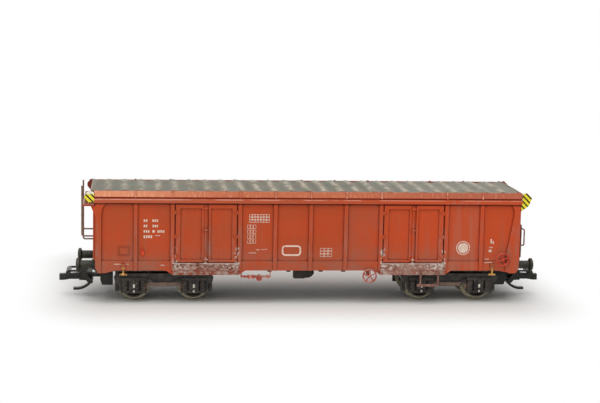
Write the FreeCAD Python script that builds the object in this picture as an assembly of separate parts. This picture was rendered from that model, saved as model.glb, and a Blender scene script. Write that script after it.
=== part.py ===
import FreeCAD, Part
import math
import os

os.makedirs("parts", exist_ok=True)
V = FreeCAD.Vector
UP = V(0, 0, 1)
ACROSS = V(0, 1, 0)
ALONG = V(1, 0, 0)

# Scale model bogie van for 12 mm gauge track.  Millimetres.
# +X runs along the van to the plain end, -Y is the near side, Z = 0 is the lowest point (flange tips).

# wheels and axles
TREAD_R = 3.80
FLANGE_R = 4.35
FLANGE_T = 0.60
WHEEL_W = 2.10
BACK_TO_BACK = 10.20
RIM_IN_R = 3.05
WEB_SET = 0.35
WEB_T = 0.70
HUB_R = 1.15
AXLE_R = 0.75
JOURNAL_R = 0.45
CONE_L = 0.60
CONE_TIP_R = 0.10
BEARING_GAP = 0.06
END_PLAY = 0.08
AXLE_Z = FLANGE_R
RAIL_Z = FLANGE_R - TREAD_R
WHEEL_OUT_Y = BACK_TO_BACK / 2 + WHEEL_W

# body length, doors and posts
HALF_L = 53.70
LIP_OUT_X = 0.30
CORNER_FLAT = 2.40
CORNER_RUN = 2.70
CHAMFER_X = 0.80
CHAMFER_RISE = 1.25
DOOR_X = 26.22
DOOR_W = 15.20
JAMB = 0.80
THRESHOLD_OVER = 0.75
DROP_RUN = 1.60
POST_W = 0.95
END_POST_IN = 9.95
DOOR_POST = DOOR_W / 2 + JAMB
DOORS_X = (-DOOR_X, DOOR_X)
INNER_POST_X = DOOR_X - DOOR_POST
OUTER_POST_X = DOOR_X + DOOR_POST
END_POST_X = HALF_L - END_POST_IN
HALF_POSTS = (INNER_POST_X / 2, INNER_POST_X, OUTER_POST_X, END_POST_X)
POSTS_X = (0.0,) + HALF_POSTS + tuple(-x for x in HALF_POSTS)

# body section
PANEL_Y = 11.70
WALL_T = 1.00
POST_D = 0.60
LIP_D = 0.20
SILL_D = 0.30
RIM_T = 0.50
INNER_Y = PANEL_Y - WALL_T
POST_Y = PANEL_Y + POST_D
LIP_Y = POST_Y + LIP_D
RIM_Y = PANEL_Y - RIM_T

# heights
WHEEL_CLEAR = 0.55
FLOOR_T = 0.80
BEAM_RISE = 0.40
SILL_DROP = 0.60
CORNER_DROP = 0.65
THRESHOLD_DROP = 1.05
SILL_H = 2.40
PANEL_H = 14.65
LIP_H = 1.05
EAVE_H = 1.80
COVER_SET = 1.00
FLOOR_BOT_Z = 2 * FLANGE_R + WHEEL_CLEAR
FLOOR_TOP_Z = FLOOR_BOT_Z + FLOOR_T
BEAM_TOP_Z = FLOOR_TOP_Z + BEAM_RISE
BOTTOM_Z = FLOOR_BOT_Z - SILL_DROP
CORNER_Z = BOTTOM_Z - CORNER_DROP
THRESHOLD_Z = BOTTOM_Z - THRESHOLD_DROP
SILL_TOP_Z = BOTTOM_Z + SILL_H
LIP_BOT_Z = SILL_TOP_Z + PANEL_H
LIP_TOP_Z = LIP_BOT_Z + LIP_H
EAVE_Z = LIP_TOP_Z + EAVE_H
DECK_Z = EAVE_Z - COVER_SET
END_RAIL_H = 0.60
END_RAIL_Z = (SILL_TOP_Z + LIP_BOT_Z) / 2

# doors
LEAF_T = 0.42
LEAF_STILE = 1.15
BAR_R = 0.27
HINGE_R = 0.24
BOARD_D = 0.10
KERB_D = 0.30

# roof cover
BAYS = 26
COVER_OVER = 1.15
COVER_BACK = 0.25
COVER_GAP = 0.05
CROWN_H = 0.60
EDGE_DROP = 0.40
RIDGE_H = 0.26
COVER_X0 = -HALF_L - COVER_OVER
COVER_X1 = HALF_L - COVER_BACK
BAY_L = (COVER_X1 - COVER_X0) / BAYS

# bogies
WHEELBASE = 15.00
END_OVERHANG = 17.10
WHEEL_SIDE_GAP = 0.75
FRAME_T = 1.10
BOX_D = 1.00
SIDE_END = 5.00
SWIVEL_GAP = 0.05
BOSS_H = 1.40
BOSS_R = 2.60
BOLSTER_H = 2.35
SCREW_R = 0.90
SCREW_BITE = 0.60
BRAKE_GAP = 0.20
PIVOT_X = HALF_L - END_OVERHANG
FRAME_IN_Y = WHEEL_OUT_Y + WHEEL_SIDE_GAP
FRAME_OUT_Y = FRAME_IN_Y + FRAME_T
BOX_OUT_Y = FRAME_OUT_Y + BOX_D
CONE_START_Y = FRAME_IN_Y + 0.15
CONE_END_Y = CONE_START_Y + CONE_L
SIDE_HALF_L = WHEELBASE / 2 + SIDE_END
BOLSTER_TOP_Z = FLOOR_BOT_Z - BOSS_H - SWIVEL_GAP
BOLSTER_BOT_Z = BOLSTER_TOP_Z - BOLSTER_H
SIDE_TOP_Z = BOLSTER_TOP_Z - 0.35
SCREW_TOP_Z = FLOOR_BOT_Z + SCREW_BITE

# chassis
FLOOR_GAP = 0.10
LEDGE_W = 0.70
BEAM_T = 2.00
SPINE_GAP = 2.10
FLOOR_Y = INNER_Y - FLOOR_GAP
BEAM_IN_X = HALF_L - BEAM_T
SPINE_HALF = PIVOT_X - SIDE_HALF_L - SPINE_GAP
CROSS_X = (-20.0, -10.0, -5.2, 3.05, 8.8, 20.0)

# buffers
BUFFER_Y = 7.30
BUFFER_DROP = 1.07
BUFFER_R = 1.68
SHANK_R = 1.05
BUFFER_L = 4.90
SPIGOT_R = 0.60
SPIGOT_L = 1.50
BUFFER_Z = BEAM_TOP_Z - BUFFER_DROP

# draw gear (u is the distance out from the van's middle, draw gear pushed home)
COUPLER_RISE = 4.95
TRAY_BACK = 1.10
TRAY_WALL_IN = 0.15
TRAY_WALL_OUT = 0.40
TRAY_Y = 3.30
TRAY_DEEP = 2.15
DRAW_TRAVEL = 1.70
DRAW_REST = {"left": 1.30, "right": 0.0}
TAIL_L = 0.80
BAR_T = 0.90
BAR_Y = 1.00
TAIL_Y = 1.80
SLIDE_GAP = 0.05
COUPLER_Z = RAIL_Z + COUPLER_RISE
BAR_Z0 = COUPLER_Z - BAR_T / 2
BAR_Z1 = COUPLER_Z + BAR_T / 2
TRAY_Z = COUPLER_Z - TRAY_DEEP
TRAY_OUT_U = HALF_L - TRAY_BACK
TAIL_OUT_U = TRAY_OUT_U - TRAY_WALL_OUT - SLIDE_GAP - DRAW_TRAVEL
TAIL_IN_U = TAIL_OUT_U - TAIL_L
TRAY_IN_U = TAIL_IN_U - SLIDE_GAP - TRAY_WALL_IN

# couplers
SWING_OUT = 1.80
PIN_R = 0.45
POCKET_REAR = 1.00
POCKET_L = 3.20
POCKET_Y = 2.50
POCKET_DEEP = 1.10
POCKET_HIGH = 1.05
BOW_OUT = 0.90
BOW_RISE = 0.25
TRUNNION_R = 0.35
BOW_T = 0.50
HOOK_L = 7.30
HOOK_W = 1.50
TONGUE_T = 0.60
SWING_U = TRAY_OUT_U + SWING_OUT
POCKET_Z0 = COUPLER_Z - POCKET_DEEP
POCKET_Z1 = COUPLER_Z + POCKET_HIGH
BOW_PIVOT_U = SWING_U + BOW_OUT
BOW_PIVOT_Z = COUPLER_Z + BOW_RISE
BOW_IN_Y = POCKET_Y + SLIDE_GAP
BOW_Y = BOW_IN_Y + BOW_T

# left end platform and wires
PLATFORM_L = 2.80
PLATFORM_T = 0.50
PLATFORM_DROP = 0.35
RIB_OUT = 0.55
WIRE_R = 0.20
HANDLE_IN = 2.70
HANDLE_STEP = 1.40
SHORT_REACH = 1.95
LONG_REACH = 1.45
SHORT_ABOVE = 0.775
SHORT_BELOW = 3.125
LONG_ABOVE = 1.675
LONG_FOOT = 0.50
FOOT_BELOW = 1.025
FOOT_STEP = 2.60
PLATFORM_X1 = -HALF_L - LIP_OUT_X
PLATFORM_X0 = PLATFORM_X1 - PLATFORM_L
PLATFORM_TOP_Z = LIP_BOT_Z - PLATFORM_DROP

# hand wheels
SIDE_WHEEL_IN = 4.30
SIDE_WHEEL_RISE = 0.60
SIDE_WHEEL_R = 1.55
BRAKE_WHEEL_X = 15.20
BRAKE_WHEEL_R = 1.65
RIM_WIRE_R = 0.20
SPINDLE_R = 0.30
SIDE_WHEEL_X = HALF_L - SIDE_WHEEL_IN
SIDE_WHEEL_Z = SILL_TOP_Z + SIDE_WHEEL_RISE


def box(x0, x1, y0, y1, z0, z1):
    return Part.makeBox(x1 - x0, y1 - y0, z1 - z0, V(x0, y0, z0))


def plate_xz(points, y0, y1):
    """Prism of an outline in the X-Z plane, from y0 to y1."""
    ring = [V(x, y0, z) for x, z in points]
    face = Part.Face(Part.makePolygon(ring + ring[:1]))
    return face.extrude(V(0, y1 - y0, 0))


def plate_yz(points, x0, x1):
    """Prism of an outline in the Y-Z plane, from x0 to x1."""
    ring = [V(x0, y, z) for y, z in points]
    face = Part.Face(Part.makePolygon(ring + ring[:1]))
    return face.extrude(V(x1 - x0, 0, 0))


def rod(start, end, r):
    """Straight round bar between two points."""
    a = V(*start)
    run = V(*end) - a
    return Part.makeCylinder(r, run.Length, a, run)


def lathe_y(points, x, z):
    """Solid of revolution round a line along Y; points are (y, radius)."""
    ring = [V(x + r, y, z) for y, r in points]
    face = Part.Face(Part.makePolygon(ring + ring[:1]))
    return face.revolve(V(x, 0, z), ACROSS, 360)


def lathe_x(points, y, z):
    """Solid of revolution round a line along X; points are (x, radius)."""
    ring = [V(x, y, z + r) for x, r in points]
    face = Part.Face(Part.makePolygon(ring + ring[:1]))
    return face.revolve(V(0, y, z), ALONG, 360)


def wire_bar(points, r, bend):
    """Round wire bent along a polyline with arcs of radius bend at its corners."""
    path = [V(*p) for p in points]
    edges = []
    here = path[0]
    for before, corner, after in zip(path, path[1:], path[2:]):
        back = (before - corner).normalize()
        ahead = (after - corner).normalize()
        half = back.getAngle(ahead) / 2
        cut = bend / math.tan(half)
        a = corner + back * cut
        b = corner + ahead * cut
        centre = corner + (back + ahead).normalize() * (bend / math.sin(half))
        mid = centre + (corner - centre).normalize() * bend
        edges.append(Part.makeLine(here, a))
        edges.append(Part.Arc(a, mid, b).toShape())
        here = b
    edges.append(Part.makeLine(here, path[-1]))
    first = path[1] - path[0]
    section = Part.Wire(Part.makeCircle(r, path[0], first))
    return Part.Wire(edges).makePipeShell([section], True, True)


def fuse(shapes):
    whole = shapes[0].multiFuse(shapes[1:]) if len(shapes) > 1 else shapes[0]
    return whole.removeSplitter()


def mirror_y(shape):
    return shape.mirror(V(0, 0, 0), ACROSS)


def turned(shape):
    """Copy turned half a turn about the van's upright middle line."""
    copy = shape.copy()
    copy.rotate(V(0, 0, 0), UP, 180)
    return copy


def moved(shape, x=0.0, y=0.0, z=0.0):
    copy = shape.copy()
    copy.translate(V(x, y, z))
    return copy


def save(name, shape):
    solids = shape.Solids
    if len(solids) != 1:
        raise ValueError("%s has %d solids" % (name, len(solids)))
    if not solids[0].isValid():
        raise ValueError("%s is not valid" % name)
    solids[0].exportStep("parts/%s.step" % name)


# ---------------------------------------------------------------- body shell

def lower_edge(x):
    """Height of the side's lower edge at x, which drops towards each door."""
    out = abs(abs(x) - DOOR_X) - DOOR_W / 2 - THRESHOLD_OVER
    share = min(1.0, max(0.0, out / DROP_RUN))
    return THRESHOLD_Z + share * (BOTTOM_Z - THRESHOLD_Z)


def side_outline(top_z):
    """Side wall outline: drops at the doors and at both end corners, with cut lower corners."""
    corner = [(HALF_L - CORNER_FLAT - CORNER_RUN, BOTTOM_Z), (HALF_L - CORNER_FLAT, CORNER_Z),
              (HALF_L - CHAMFER_X, CORNER_Z), (HALF_L, CORNER_Z + CHAMFER_RISE), (HALF_L, top_z)]
    ring = [(-x, z) for x, z in reversed(corner)]
    reach = DOOR_W / 2 + THRESHOLD_OVER
    for x in DOORS_X:
        ring.append((x - reach - DROP_RUN, BOTTOM_Z))
        ring.append((x - reach, THRESHOLD_Z))
        ring.append((x + reach, THRESHOLD_Z))
        ring.append((x + reach + DROP_RUN, BOTTOM_Z))
    return ring + corner


def door(x):
    """Pair of closed door leaves with recessed panels, locking bar and hinges."""
    half = DOOR_W / 2
    face_y = -PANEL_Y - LEAF_T
    top = LIP_BOT_Z - 0.30
    low = SILL_TOP_Z - 0.20
    slab = box(x - half, x + half, face_y, -PANEL_Y, low, top)
    cuts = []
    for side in (-1, 1):
        edge = sorted((x + side * LEAF_STILE, x + side * (half - LEAF_STILE)))
        cuts.append(box(edge[0], edge[1], face_y, -PANEL_Y - 0.08, low + 0.55, top - 1.05))
    cuts.append(box(x + 0.40, x + 0.58, face_y, -PANEL_Y - 0.15, low, top))
    parts = [slab.cut(cuts[0].multiFuse(cuts[1:]))]
    bar_x = x - 0.15
    bar_y = face_y - 0.12
    parts.append(rod((bar_x, bar_y, BOTTOM_Z + 0.8), (bar_x, bar_y, top - 0.25), BAR_R))
    for z in ((low + top) / 2 + 0.9, low + 0.6, top - 0.95):
        parts.append(box(x - 0.75, x + 0.45, bar_y - 0.33, -PANEL_Y, z - 0.22, z + 0.22))
    lock = (bar_x, bar_y - 0.38, SILL_TOP_Z - 0.9)
    parts.append(rod(lock, (bar_x, -PANEL_Y, lock[2]), 0.62))
    for side in (-1, 1):
        hx = x + side * (half + 0.08)
        for z in (top - 2.05, (low + top) / 2 - 0.8, low + 1.4):
            parts.append(rod((hx, face_y, z - 0.5), (hx, face_y, z + 0.5), HINGE_R))
            parts.append(box(hx - HINGE_R, hx + HINGE_R, face_y, -PANEL_Y, z - 0.5, z + 0.5))
            strap = sorted((hx, hx - side * 0.9))
            parts.append(box(strap[0], strap[1], face_y - 0.12, -PANEL_Y, z - 0.25, z + 0.25))
    return parts


def threshold(x):
    """Worn door sill: a hanging board under a kerb with stops on it."""
    reach = DOOR_W / 2 + THRESHOLD_OVER
    seam = BOTTOM_Z + 0.20
    parts = [box(x - reach, x + reach, -POST_Y - BOARD_D, -PANEL_Y, THRESHOLD_Z, seam)]
    parts.append(box(x - reach + 0.2, x + reach - 0.2, -POST_Y - KERB_D, -PANEL_Y, seam, SILL_TOP_Z - 0.5))
    for side in (-1, 1):
        for share in (0.33, 0.67, 1.0):
            bx = x + side * share * (reach - 1.3)
            parts.append(box(bx - 0.45, bx + 0.45, -POST_Y - KERB_D - 0.15, -POST_Y, seam + 0.6, seam + 1.2))
    return parts


def near_side():
    """Everything that stands proud of the near side wall."""
    end = HALF_L + LIP_OUT_X
    parts = []
    lip = [(-PANEL_Y, LIP_BOT_Z), (-LIP_Y, LIP_BOT_Z), (-LIP_Y, LIP_TOP_Z),
           (-POST_Y, LIP_TOP_Z + 0.1), (-PANEL_Y, LIP_TOP_Z + 0.1)]
    parts.append(plate_yz(lip, -end, end))
    band = [(-PANEL_Y, LIP_TOP_Z + 0.35), (-POST_Y - 0.05, LIP_TOP_Z + 0.35),
            (-POST_Y + 0.40, EAVE_Z), (-PANEL_Y, EAVE_Z)]
    parts.append(plate_yz(band, -end, end))
    parts.append(box(-end, end, -PANEL_Y - 0.20, -PANEL_Y, LIP_TOP_Z, LIP_TOP_Z + 0.40))
    half = POST_W / 2
    for x in POSTS_X:
        parts.append(box(x - half, x + half, -POST_Y, -PANEL_Y, BOTTOM_Z, LIP_BOT_Z))
        seam = [(-PANEL_Y, LIP_TOP_Z), (-POST_Y - 0.18, LIP_TOP_Z + 0.2),
                (-POST_Y + 0.20, EAVE_Z + 0.12), (-PANEL_Y + 0.3, EAVE_Z + 0.12)]
        parts.append(plate_yz(seam, x - 0.20, x + 0.20))
    parts.append(plate_xz(side_outline(SILL_TOP_Z), -PANEL_Y - SILL_D, -PANEL_Y))
    low = CORNER_Z + CHAMFER_RISE
    left = -HALF_L
    left_strip = [(left, low), (left + CHAMFER_X, CORNER_Z), (left + 1.5, CORNER_Z),
                  (left + 1.5, LIP_BOT_Z - 2.75), (left + 1.75, LIP_BOT_Z - 1.35),
                  (left + 2.4, LIP_BOT_Z - 0.45), (left + 2.9, LIP_BOT_Z), (left, LIP_BOT_Z)]
    right = HALF_L
    right_strip = [(right, low), (right - CHAMFER_X, CORNER_Z), (right - CORNER_FLAT, CORNER_Z),
                   (right - 3.5, CORNER_Z + 0.5), (right - 3.5, SILL_TOP_Z), (right - 3.2, SILL_TOP_Z + 2.5),
                   (right - 1.6, LIP_BOT_Z - 2.95), (right - 1.6, LIP_BOT_Z - 1.55),
                   (right - 2.3, LIP_BOT_Z), (right, LIP_BOT_Z)]
    parts.append(plate_xz(left_strip, -POST_Y, -PANEL_Y))
    parts.append(plate_xz(right_strip, -POST_Y, -PANEL_Y))
    for x in DOORS_X:
        parts += door(x)
        parts += threshold(x)
    return parts + card_holder() + [flask()]


def card_holder():
    """Raised rim of a label holder on the first left panel."""
    x0 = -END_POST_X - 4.25
    z0 = SILL_TOP_Z + 1.4
    rim = box(x0, x0 + 2.7, -PANEL_Y - 0.14, -PANEL_Y, z0, z0 + 2.3)
    field = box(x0 + 0.3, x0 + 2.4, -PANEL_Y - 0.14, -PANEL_Y - 0.05, z0 + 0.3, z0 + 2.0)
    return [rim.cut(field)]


def flask():
    """Small bottle shaped fitting on the second left panel."""
    x = -END_POST_X + 1.8
    z = SILL_TOP_Z + 1.4
    half = [(0.42, z), (0.42, z + 0.9), (0.16, z + 1.2), (0.16, z + 1.9)]
    ring = [(x + a, b) for a, b in half] + [(x - a, b) for a, b in reversed(half)]
    return plate_xz(ring, -PANEL_Y - 0.30, -PANEL_Y)


def end_wall(rib_out, rib_top):
    """Lip, ribs and rails of one end, built for the +X end."""
    face = HALF_L
    parts = [box(face, face + LIP_OUT_X, -PANEL_Y, PANEL_Y, LIP_BOT_Z, EAVE_Z)]
    corner = PANEL_Y - 0.6
    for y in (-corner, -4.0, 4.0, corner):
        parts.append(box(face, face + rib_out, y - 0.6, y + 0.6, SILL_TOP_Z + 0.7, rib_top))
    parts.append(box(face, face + LIP_OUT_X, -PANEL_Y, PANEL_Y, SILL_TOP_Z + 0.1, SILL_TOP_Z + 0.9))
    rail = (END_RAIL_Z - END_RAIL_H / 2, END_RAIL_Z + END_RAIL_H / 2)
    parts.append(box(face, face + LIP_OUT_X - 0.1, -PANEL_Y, PANEL_Y, rail[0], rail[1]))
    return parts


def body_shell():
    inner_x = HALF_L - WALL_T
    block = plate_xz(side_outline(EAVE_Z), -PANEL_Y, PANEL_Y)
    cavity = box(-inner_x, inner_x, -INNER_Y, INNER_Y, 0, DECK_Z - 0.7)
    notch = box(-HALF_L - 1, HALF_L + 1, -INNER_Y, INNER_Y, 0, BEAM_TOP_Z + 0.05)
    near = near_side()
    parts = [block.cut(cavity.fuse(notch))] + near + [mirror_y(p) for p in near]
    gusset_z = PLATFORM_TOP_Z - PLATFORM_T
    parts += end_wall(LIP_OUT_X - 0.1, LIP_BOT_Z) + [turned(p) for p in end_wall(RIB_OUT, gusset_z)]
    gusset = [(-HALF_L, gusset_z - 2.6), (PLATFORM_X1 - 0.8, gusset_z), (-HALF_L, gusset_z)]
    for side in (-1, 1):
        ledge = sorted((side * (INNER_Y - LEDGE_W), side * INNER_Y))
        reach = HALF_L - CORNER_FLAT - CORNER_RUN
        parts.append(box(-reach, reach, ledge[0], ledge[1], FLOOR_TOP_Z, FLOOR_TOP_Z + 0.8))
        y = sorted((side * (PANEL_Y - 0.4), side * POST_Y))
        parts.append(plate_xz(gusset, y[0], y[1]))
    shell = fuse(parts)
    cuts = [box(COVER_X0 - 1, COVER_X1 + COVER_GAP, -RIM_Y, RIM_Y, DECK_Z, EAVE_Z + 1)]
    for side in (-1, 1):
        cuts.append(rod((SIDE_WHEEL_X, side * (INNER_Y - 1), SIDE_WHEEL_Z),
                        (SIDE_WHEEL_X, side * (POST_Y + 1), SIDE_WHEEL_Z), SPINDLE_R))
    return shell.cut(cuts[0].multiFuse(cuts[1:]))


def arch(x, ridge):
    """Closed Y-Z outline of the cover at one station."""
    half = RIM_Y - COVER_GAP
    edge_z = EAVE_Z - EDGE_DROP
    rise = EDGE_DROP + CROWN_H
    steps = 14
    ring = [V(x, -half, DECK_Z)]
    for k in range(steps + 1):
        y = -half + 2 * half * k / steps
        swell = 1 - (y / half) ** 2
        ring.append(V(x, y, edge_z + rise * swell + ridge * min(1.0, 3.0 * swell)))
    ring.append(V(x, half, DECK_Z))
    return Part.makePolygon(ring + ring[:1])


def roof_cover():
    """Sheeted cover that sags between its hoops: a ruled loft over four stations a bay."""
    sections = []
    for k in range(BAYS):
        x = COVER_X0 + k * BAY_L
        sections.append(arch(x, RIDGE_H))
        sections.append(arch(x + 0.14 * BAY_L, 0.42 * RIDGE_H))
        sections.append(arch(x + 0.50 * BAY_L, 0.0))
        sections.append(arch(x + 0.86 * BAY_L, 0.42 * RIDGE_H))
    sections.append(arch(COVER_X1, RIDGE_H))
    return Part.makeLoft(sections, True, True)


# ---------------------------------------------------------------- chassis

def chassis():
    plate = box(-BEAM_IN_X, BEAM_IN_X, -FLOOR_Y, FLOOR_Y, FLOOR_BOT_Z, FLOOR_TOP_Z)
    parts = [plate, box(-SPINE_HALF, SPINE_HALF, -1.6, 1.6, FLOOR_BOT_Z - 1.8, FLOOR_BOT_Z)]
    for x in CROSS_X:
        parts.append(box(x - 0.5, x + 0.5, -FLOOR_Y + 0.7, FLOOR_Y - 0.7, FLOOR_BOT_Z - 1.3, FLOOR_BOT_Z))
    sill_y = FRAME_OUT_Y + 0.25
    holes = []
    for end in (-1, 1):
        beam = sorted((end * BEAM_IN_X, end * HALF_L))
        parts.append(box(beam[0], beam[1], -FLOOR_Y, FLOOR_Y, CORNER_Z, BEAM_TOP_Z))
        pivot = end * PIVOT_X
        parts.append(box(pivot - 3.2, pivot + 3.2, -sill_y, sill_y, FLOOR_BOT_Z - 0.8, FLOOR_BOT_Z))
        for side in (-1, 1):
            sill = sorted((side * (sill_y - 1.0), side * sill_y))
            parts.append(box(pivot - SIDE_HALF_L - 0.5, pivot + SIDE_HALF_L + 0.5, sill[0], sill[1],
                             SIDE_TOP_Z + 0.5, FLOOR_BOT_Z))
        parts.append(rod((pivot, 0, BOLSTER_TOP_Z + SWIVEL_GAP), (pivot, 0, FLOOR_BOT_Z), BOSS_R))
        holes.append(rod((pivot, 0, 0), (pivot, 0, SCREW_TOP_Z), SCREW_R))
        block = sorted((end * TRAY_IN_U, end * TRAY_OUT_U))
        parts.append(box(block[0], block[1], -TRAY_Y, TRAY_Y, BAR_Z1 + SLIDE_GAP, FLOOR_BOT_Z))
        for side in (-1, 1):
            y = side * BUFFER_Y
            holes.append(rod((end * (HALF_L - SPIGOT_L), y, BUFFER_Z), (end * (HALF_L + 1), y, BUFFER_Z),
                             SPIGOT_R))
    return fuse(parts).cut(holes[0].multiFuse(holes[1:]))


def ballast():
    """Steel weight on the floor, between the bogies."""
    half = PIVOT_X - 6.6
    width = FLOOR_Y - 1.4
    slab = box(-half, half, -width, width, FLOOR_TOP_Z, FLOOR_TOP_Z + 1.8)
    holes = [rod((x, 0, 0), (x, 0, EAVE_Z), 1.5) for x in (-half + 10, half - 10)]
    return slab.cut(holes[0].multiFuse(holes[1:]))


def buffer_unit(end, side):
    """Buffer with a square base, stepped shank, domed head and a spigot for the beam."""
    x = HALF_L
    y = side * BUFFER_Y
    face = x + BUFFER_L
    body = lathe_x([(x - SPIGOT_L + 0.05, 0), (x - SPIGOT_L + 0.05, SPIGOT_R), (x, SPIGOT_R),
                    (x, SHANK_R + 0.3), (x + 0.9, SHANK_R + 0.3), (x + 0.9, SHANK_R), (face - 1.15, SHANK_R),
                    (face - 0.95, BUFFER_R - 0.15), (face - 0.80, BUFFER_R), (face - 0.30, BUFFER_R),
                    (face - 0.06, BUFFER_R - 0.45), (face, BUFFER_R - 0.85), (face, 0)], y, BUFFER_Z)
    reach = SHANK_R + 0.45
    unit = fuse([body, box(x, x + 0.35, y - reach, y + reach, BUFFER_Z - reach + 0.2, BUFFER_Z + reach)])
    if end < 0:
        unit = turned(unit)
    return unit


# ---------------------------------------------------------------- bogies

def spring(x, y, z0, z1):
    """Coil spring as turned rings between two seats."""
    turns = 4
    pitch = (z1 - z0) / turns
    profile = [(0.6, z0)]
    for k in range(turns):
        low = z0 + k * pitch
        profile += [(0.85, low + 0.16 * pitch), (0.85, low + 0.68 * pitch), (0.6, low + pitch)]
    ring = [V(x, y, z0)] + [V(x + r, y, h) for r, h in profile] + [V(x, y, z1)]
    face = Part.Face(Part.makePolygon(ring + ring[:1]))
    return face.revolve(V(x, y, 0), UP, 360)


def axle_box(x):
    """Axle box group: spring seats and caps, two springs, guide and round cover."""
    z = AXLE_Z
    y = -FRAME_OUT_Y
    seat = z - 1.3
    cap = z + 1.3
    parts = [box(x - 3.3, x + 3.3, y - 0.65, y, seat - 0.6, seat),
             box(x - 3.2, x + 3.2, y - 0.65, y, cap, cap + 0.8)]
    for side in (-1, 1):
        parts.append(spring(x + side * 2.25, y - 0.15, seat, cap))
    parts.append(box(x - 1.25, x + 1.25, y - 0.55, y, seat, cap + 0.1))
    parts.append(rod((x, y, z), (x, -BOX_OUT_Y + 0.15, z), 1.05))
    parts.append(rod((x, y, z), (x, -BOX_OUT_Y, z), 0.70))
    parts.append(box(x - 0.35, x + 0.35, -BOX_OUT_Y + 0.05, y, seat - 0.4, cap + 0.5))
    return parts


def bogie_side():
    """Near side of a bogie: cast side frame with its belly rib and two axle box groups."""
    z = AXLE_Z
    half = WHEELBASE / 2
    end = SIDE_HALF_L
    right = [(2.6, z - 0.3), (half - 3.9, z + 0.1), (half - 3.5, z - 1.1), (half - 2.5, z - 1.9),
             (half + 2.5, z - 1.9), (half + 3.5, z - 1.2), (half + 3.7, z + 0.4), (end - 0.3, z + 0.8),
             (end, z + 2.1), (end - 0.9, SIDE_TOP_Z)]
    outline = right + [(-x, h) for x, h in reversed(right)]
    parts = [plate_xz(outline, -FRAME_OUT_Y, -FRAME_IN_Y)]
    parts.append(box(-end + 1.1, end - 1.1, -FRAME_OUT_Y - 0.45, -FRAME_OUT_Y, SIDE_TOP_Z - 0.8, SIDE_TOP_Z))
    rib = [(2.3, z + 0.9), (3.6, z + 1.7), (4.2, z + 1.5), (3.4, z + 0.4), (2.4, z - 0.1)]
    belly = rib + [(-x, h) for x, h in reversed(rib)]
    parts.append(plate_xz(belly, -FRAME_OUT_Y - 0.5, -FRAME_OUT_Y))
    return parts + axle_box(-half) + axle_box(half)


def end_brakes(end):
    """End beam of a bogie with the two outer brake blocks hung from it."""
    half = WHEELBASE / 2
    x = sorted((end * (half + FLANGE_R), end * (half + FLANGE_R + 0.40)))
    top = AXLE_Z + 2.0
    parts = [box(x[0], x[1], -FRAME_IN_Y - 0.2, FRAME_IN_Y + 0.2, top - 0.9, top)]
    lug = sorted((end * (half + TREAD_R - 0.1), end * (half + FLANGE_R + 0.40)))
    for side in (-1, 1):
        y = sorted((side * (BACK_TO_BACK / 2 + 0.85), side * (WHEEL_OUT_Y - 0.10)))
        block = box(lug[0], lug[1], y[0], y[1], AXLE_Z - 1.9, top)
        tread = rod((end * half, y[0] - 1, AXLE_Z), (end * half, y[1] + 1, AXLE_Z), TREAD_R + BRAKE_GAP)
        parts.append(block.cut(tread))
    return parts


def bogie_frame():
    """Bogie moulding centred on its pivot: both sides, the bolster and the end beams."""
    near = bogie_side()
    parts = near + [mirror_y(p) for p in near] + end_brakes(-1) + end_brakes(1)
    parts.append(box(-2.5, 2.5, -FRAME_IN_Y - 0.2, FRAME_IN_Y + 0.2, BOLSTER_BOT_Z, SIDE_TOP_Z))
    parts.append(rod((0, 0, BOLSTER_BOT_Z), (0, 0, BOLSTER_TOP_Z), BOSS_R - 0.1))
    frame = fuse(parts)
    cuts = [rod((0, 0, 0), (0, 0, FLOOR_TOP_Z), SCREW_R + BEARING_GAP)]
    r = JOURNAL_R + BEARING_GAP
    tip = CONE_TIP_R + BEARING_GAP
    for x in (-WHEELBASE / 2, WHEELBASE / 2):
        for side in (-1, 1):
            cuts.append(lathe_y([(side * (FRAME_IN_Y - 0.1), 0), (side * (FRAME_IN_Y - 0.1), r),
                                 (side * CONE_START_Y, r), (side * CONE_END_Y, tip),
                                 (side * (CONE_END_Y + END_PLAY), 0)], x, AXLE_Z))
    return frame.cut(cuts[0].multiFuse(cuts[1:]))


def bogie_brakes():
    """Brake insert clipped under the bolster: a frame with four blocks facing the treads."""
    top = BOLSTER_BOT_Z
    low = BOLSTER_BOT_Z - 0.6
    out = WHEEL_OUT_Y - 0.10
    parts = []
    for end in (-1, 1):
        bar = sorted((end * 2.45, end * 2.90))
        parts.append(box(bar[0], bar[1], -out, out, low, top))
        rail = sorted((end * 4.2, end * 4.8))
        parts.append(box(-2.6, 2.6, rail[0], rail[1], low, top))
        axle_x = end * WHEELBASE / 2
        lug = sorted((end * 2.45, end * (WHEELBASE / 2 - 3.3)))
        for side in (-1, 1):
            y = sorted((side * (BACK_TO_BACK / 2 + 0.85), side * out))
            block = box(lug[0], lug[1], y[0], y[1], AXLE_Z - 0.4, top + 0.4)
            tread = rod((axle_x, y[0] - 1, AXLE_Z), (axle_x, y[1] + 1, AXLE_Z), TREAD_R + BRAKE_GAP)
            parts.append(block.cut(tread))
    brakes = fuse(parts)
    return brakes.cut(box(-2.5, 2.5, -FRAME_IN_Y, FRAME_IN_Y, BOLSTER_BOT_Z, FLOOR_TOP_Z))


def bogie_screw():
    """Pan head screw that holds a bogie to its chassis boss."""
    head_top = BOLSTER_BOT_Z - 0.05
    shank = rod((0, 0, head_top - 0.2), (0, 0, SCREW_TOP_Z), SCREW_R)
    head = rod((0, 0, head_top - 0.9), (0, 0, head_top), SCREW_R + 0.8)
    slot = box(-2, 2, -0.2, 0.2, head_top - 1.0, head_top - 0.55)
    return fuse([shank, head]).cut(slot)


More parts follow.
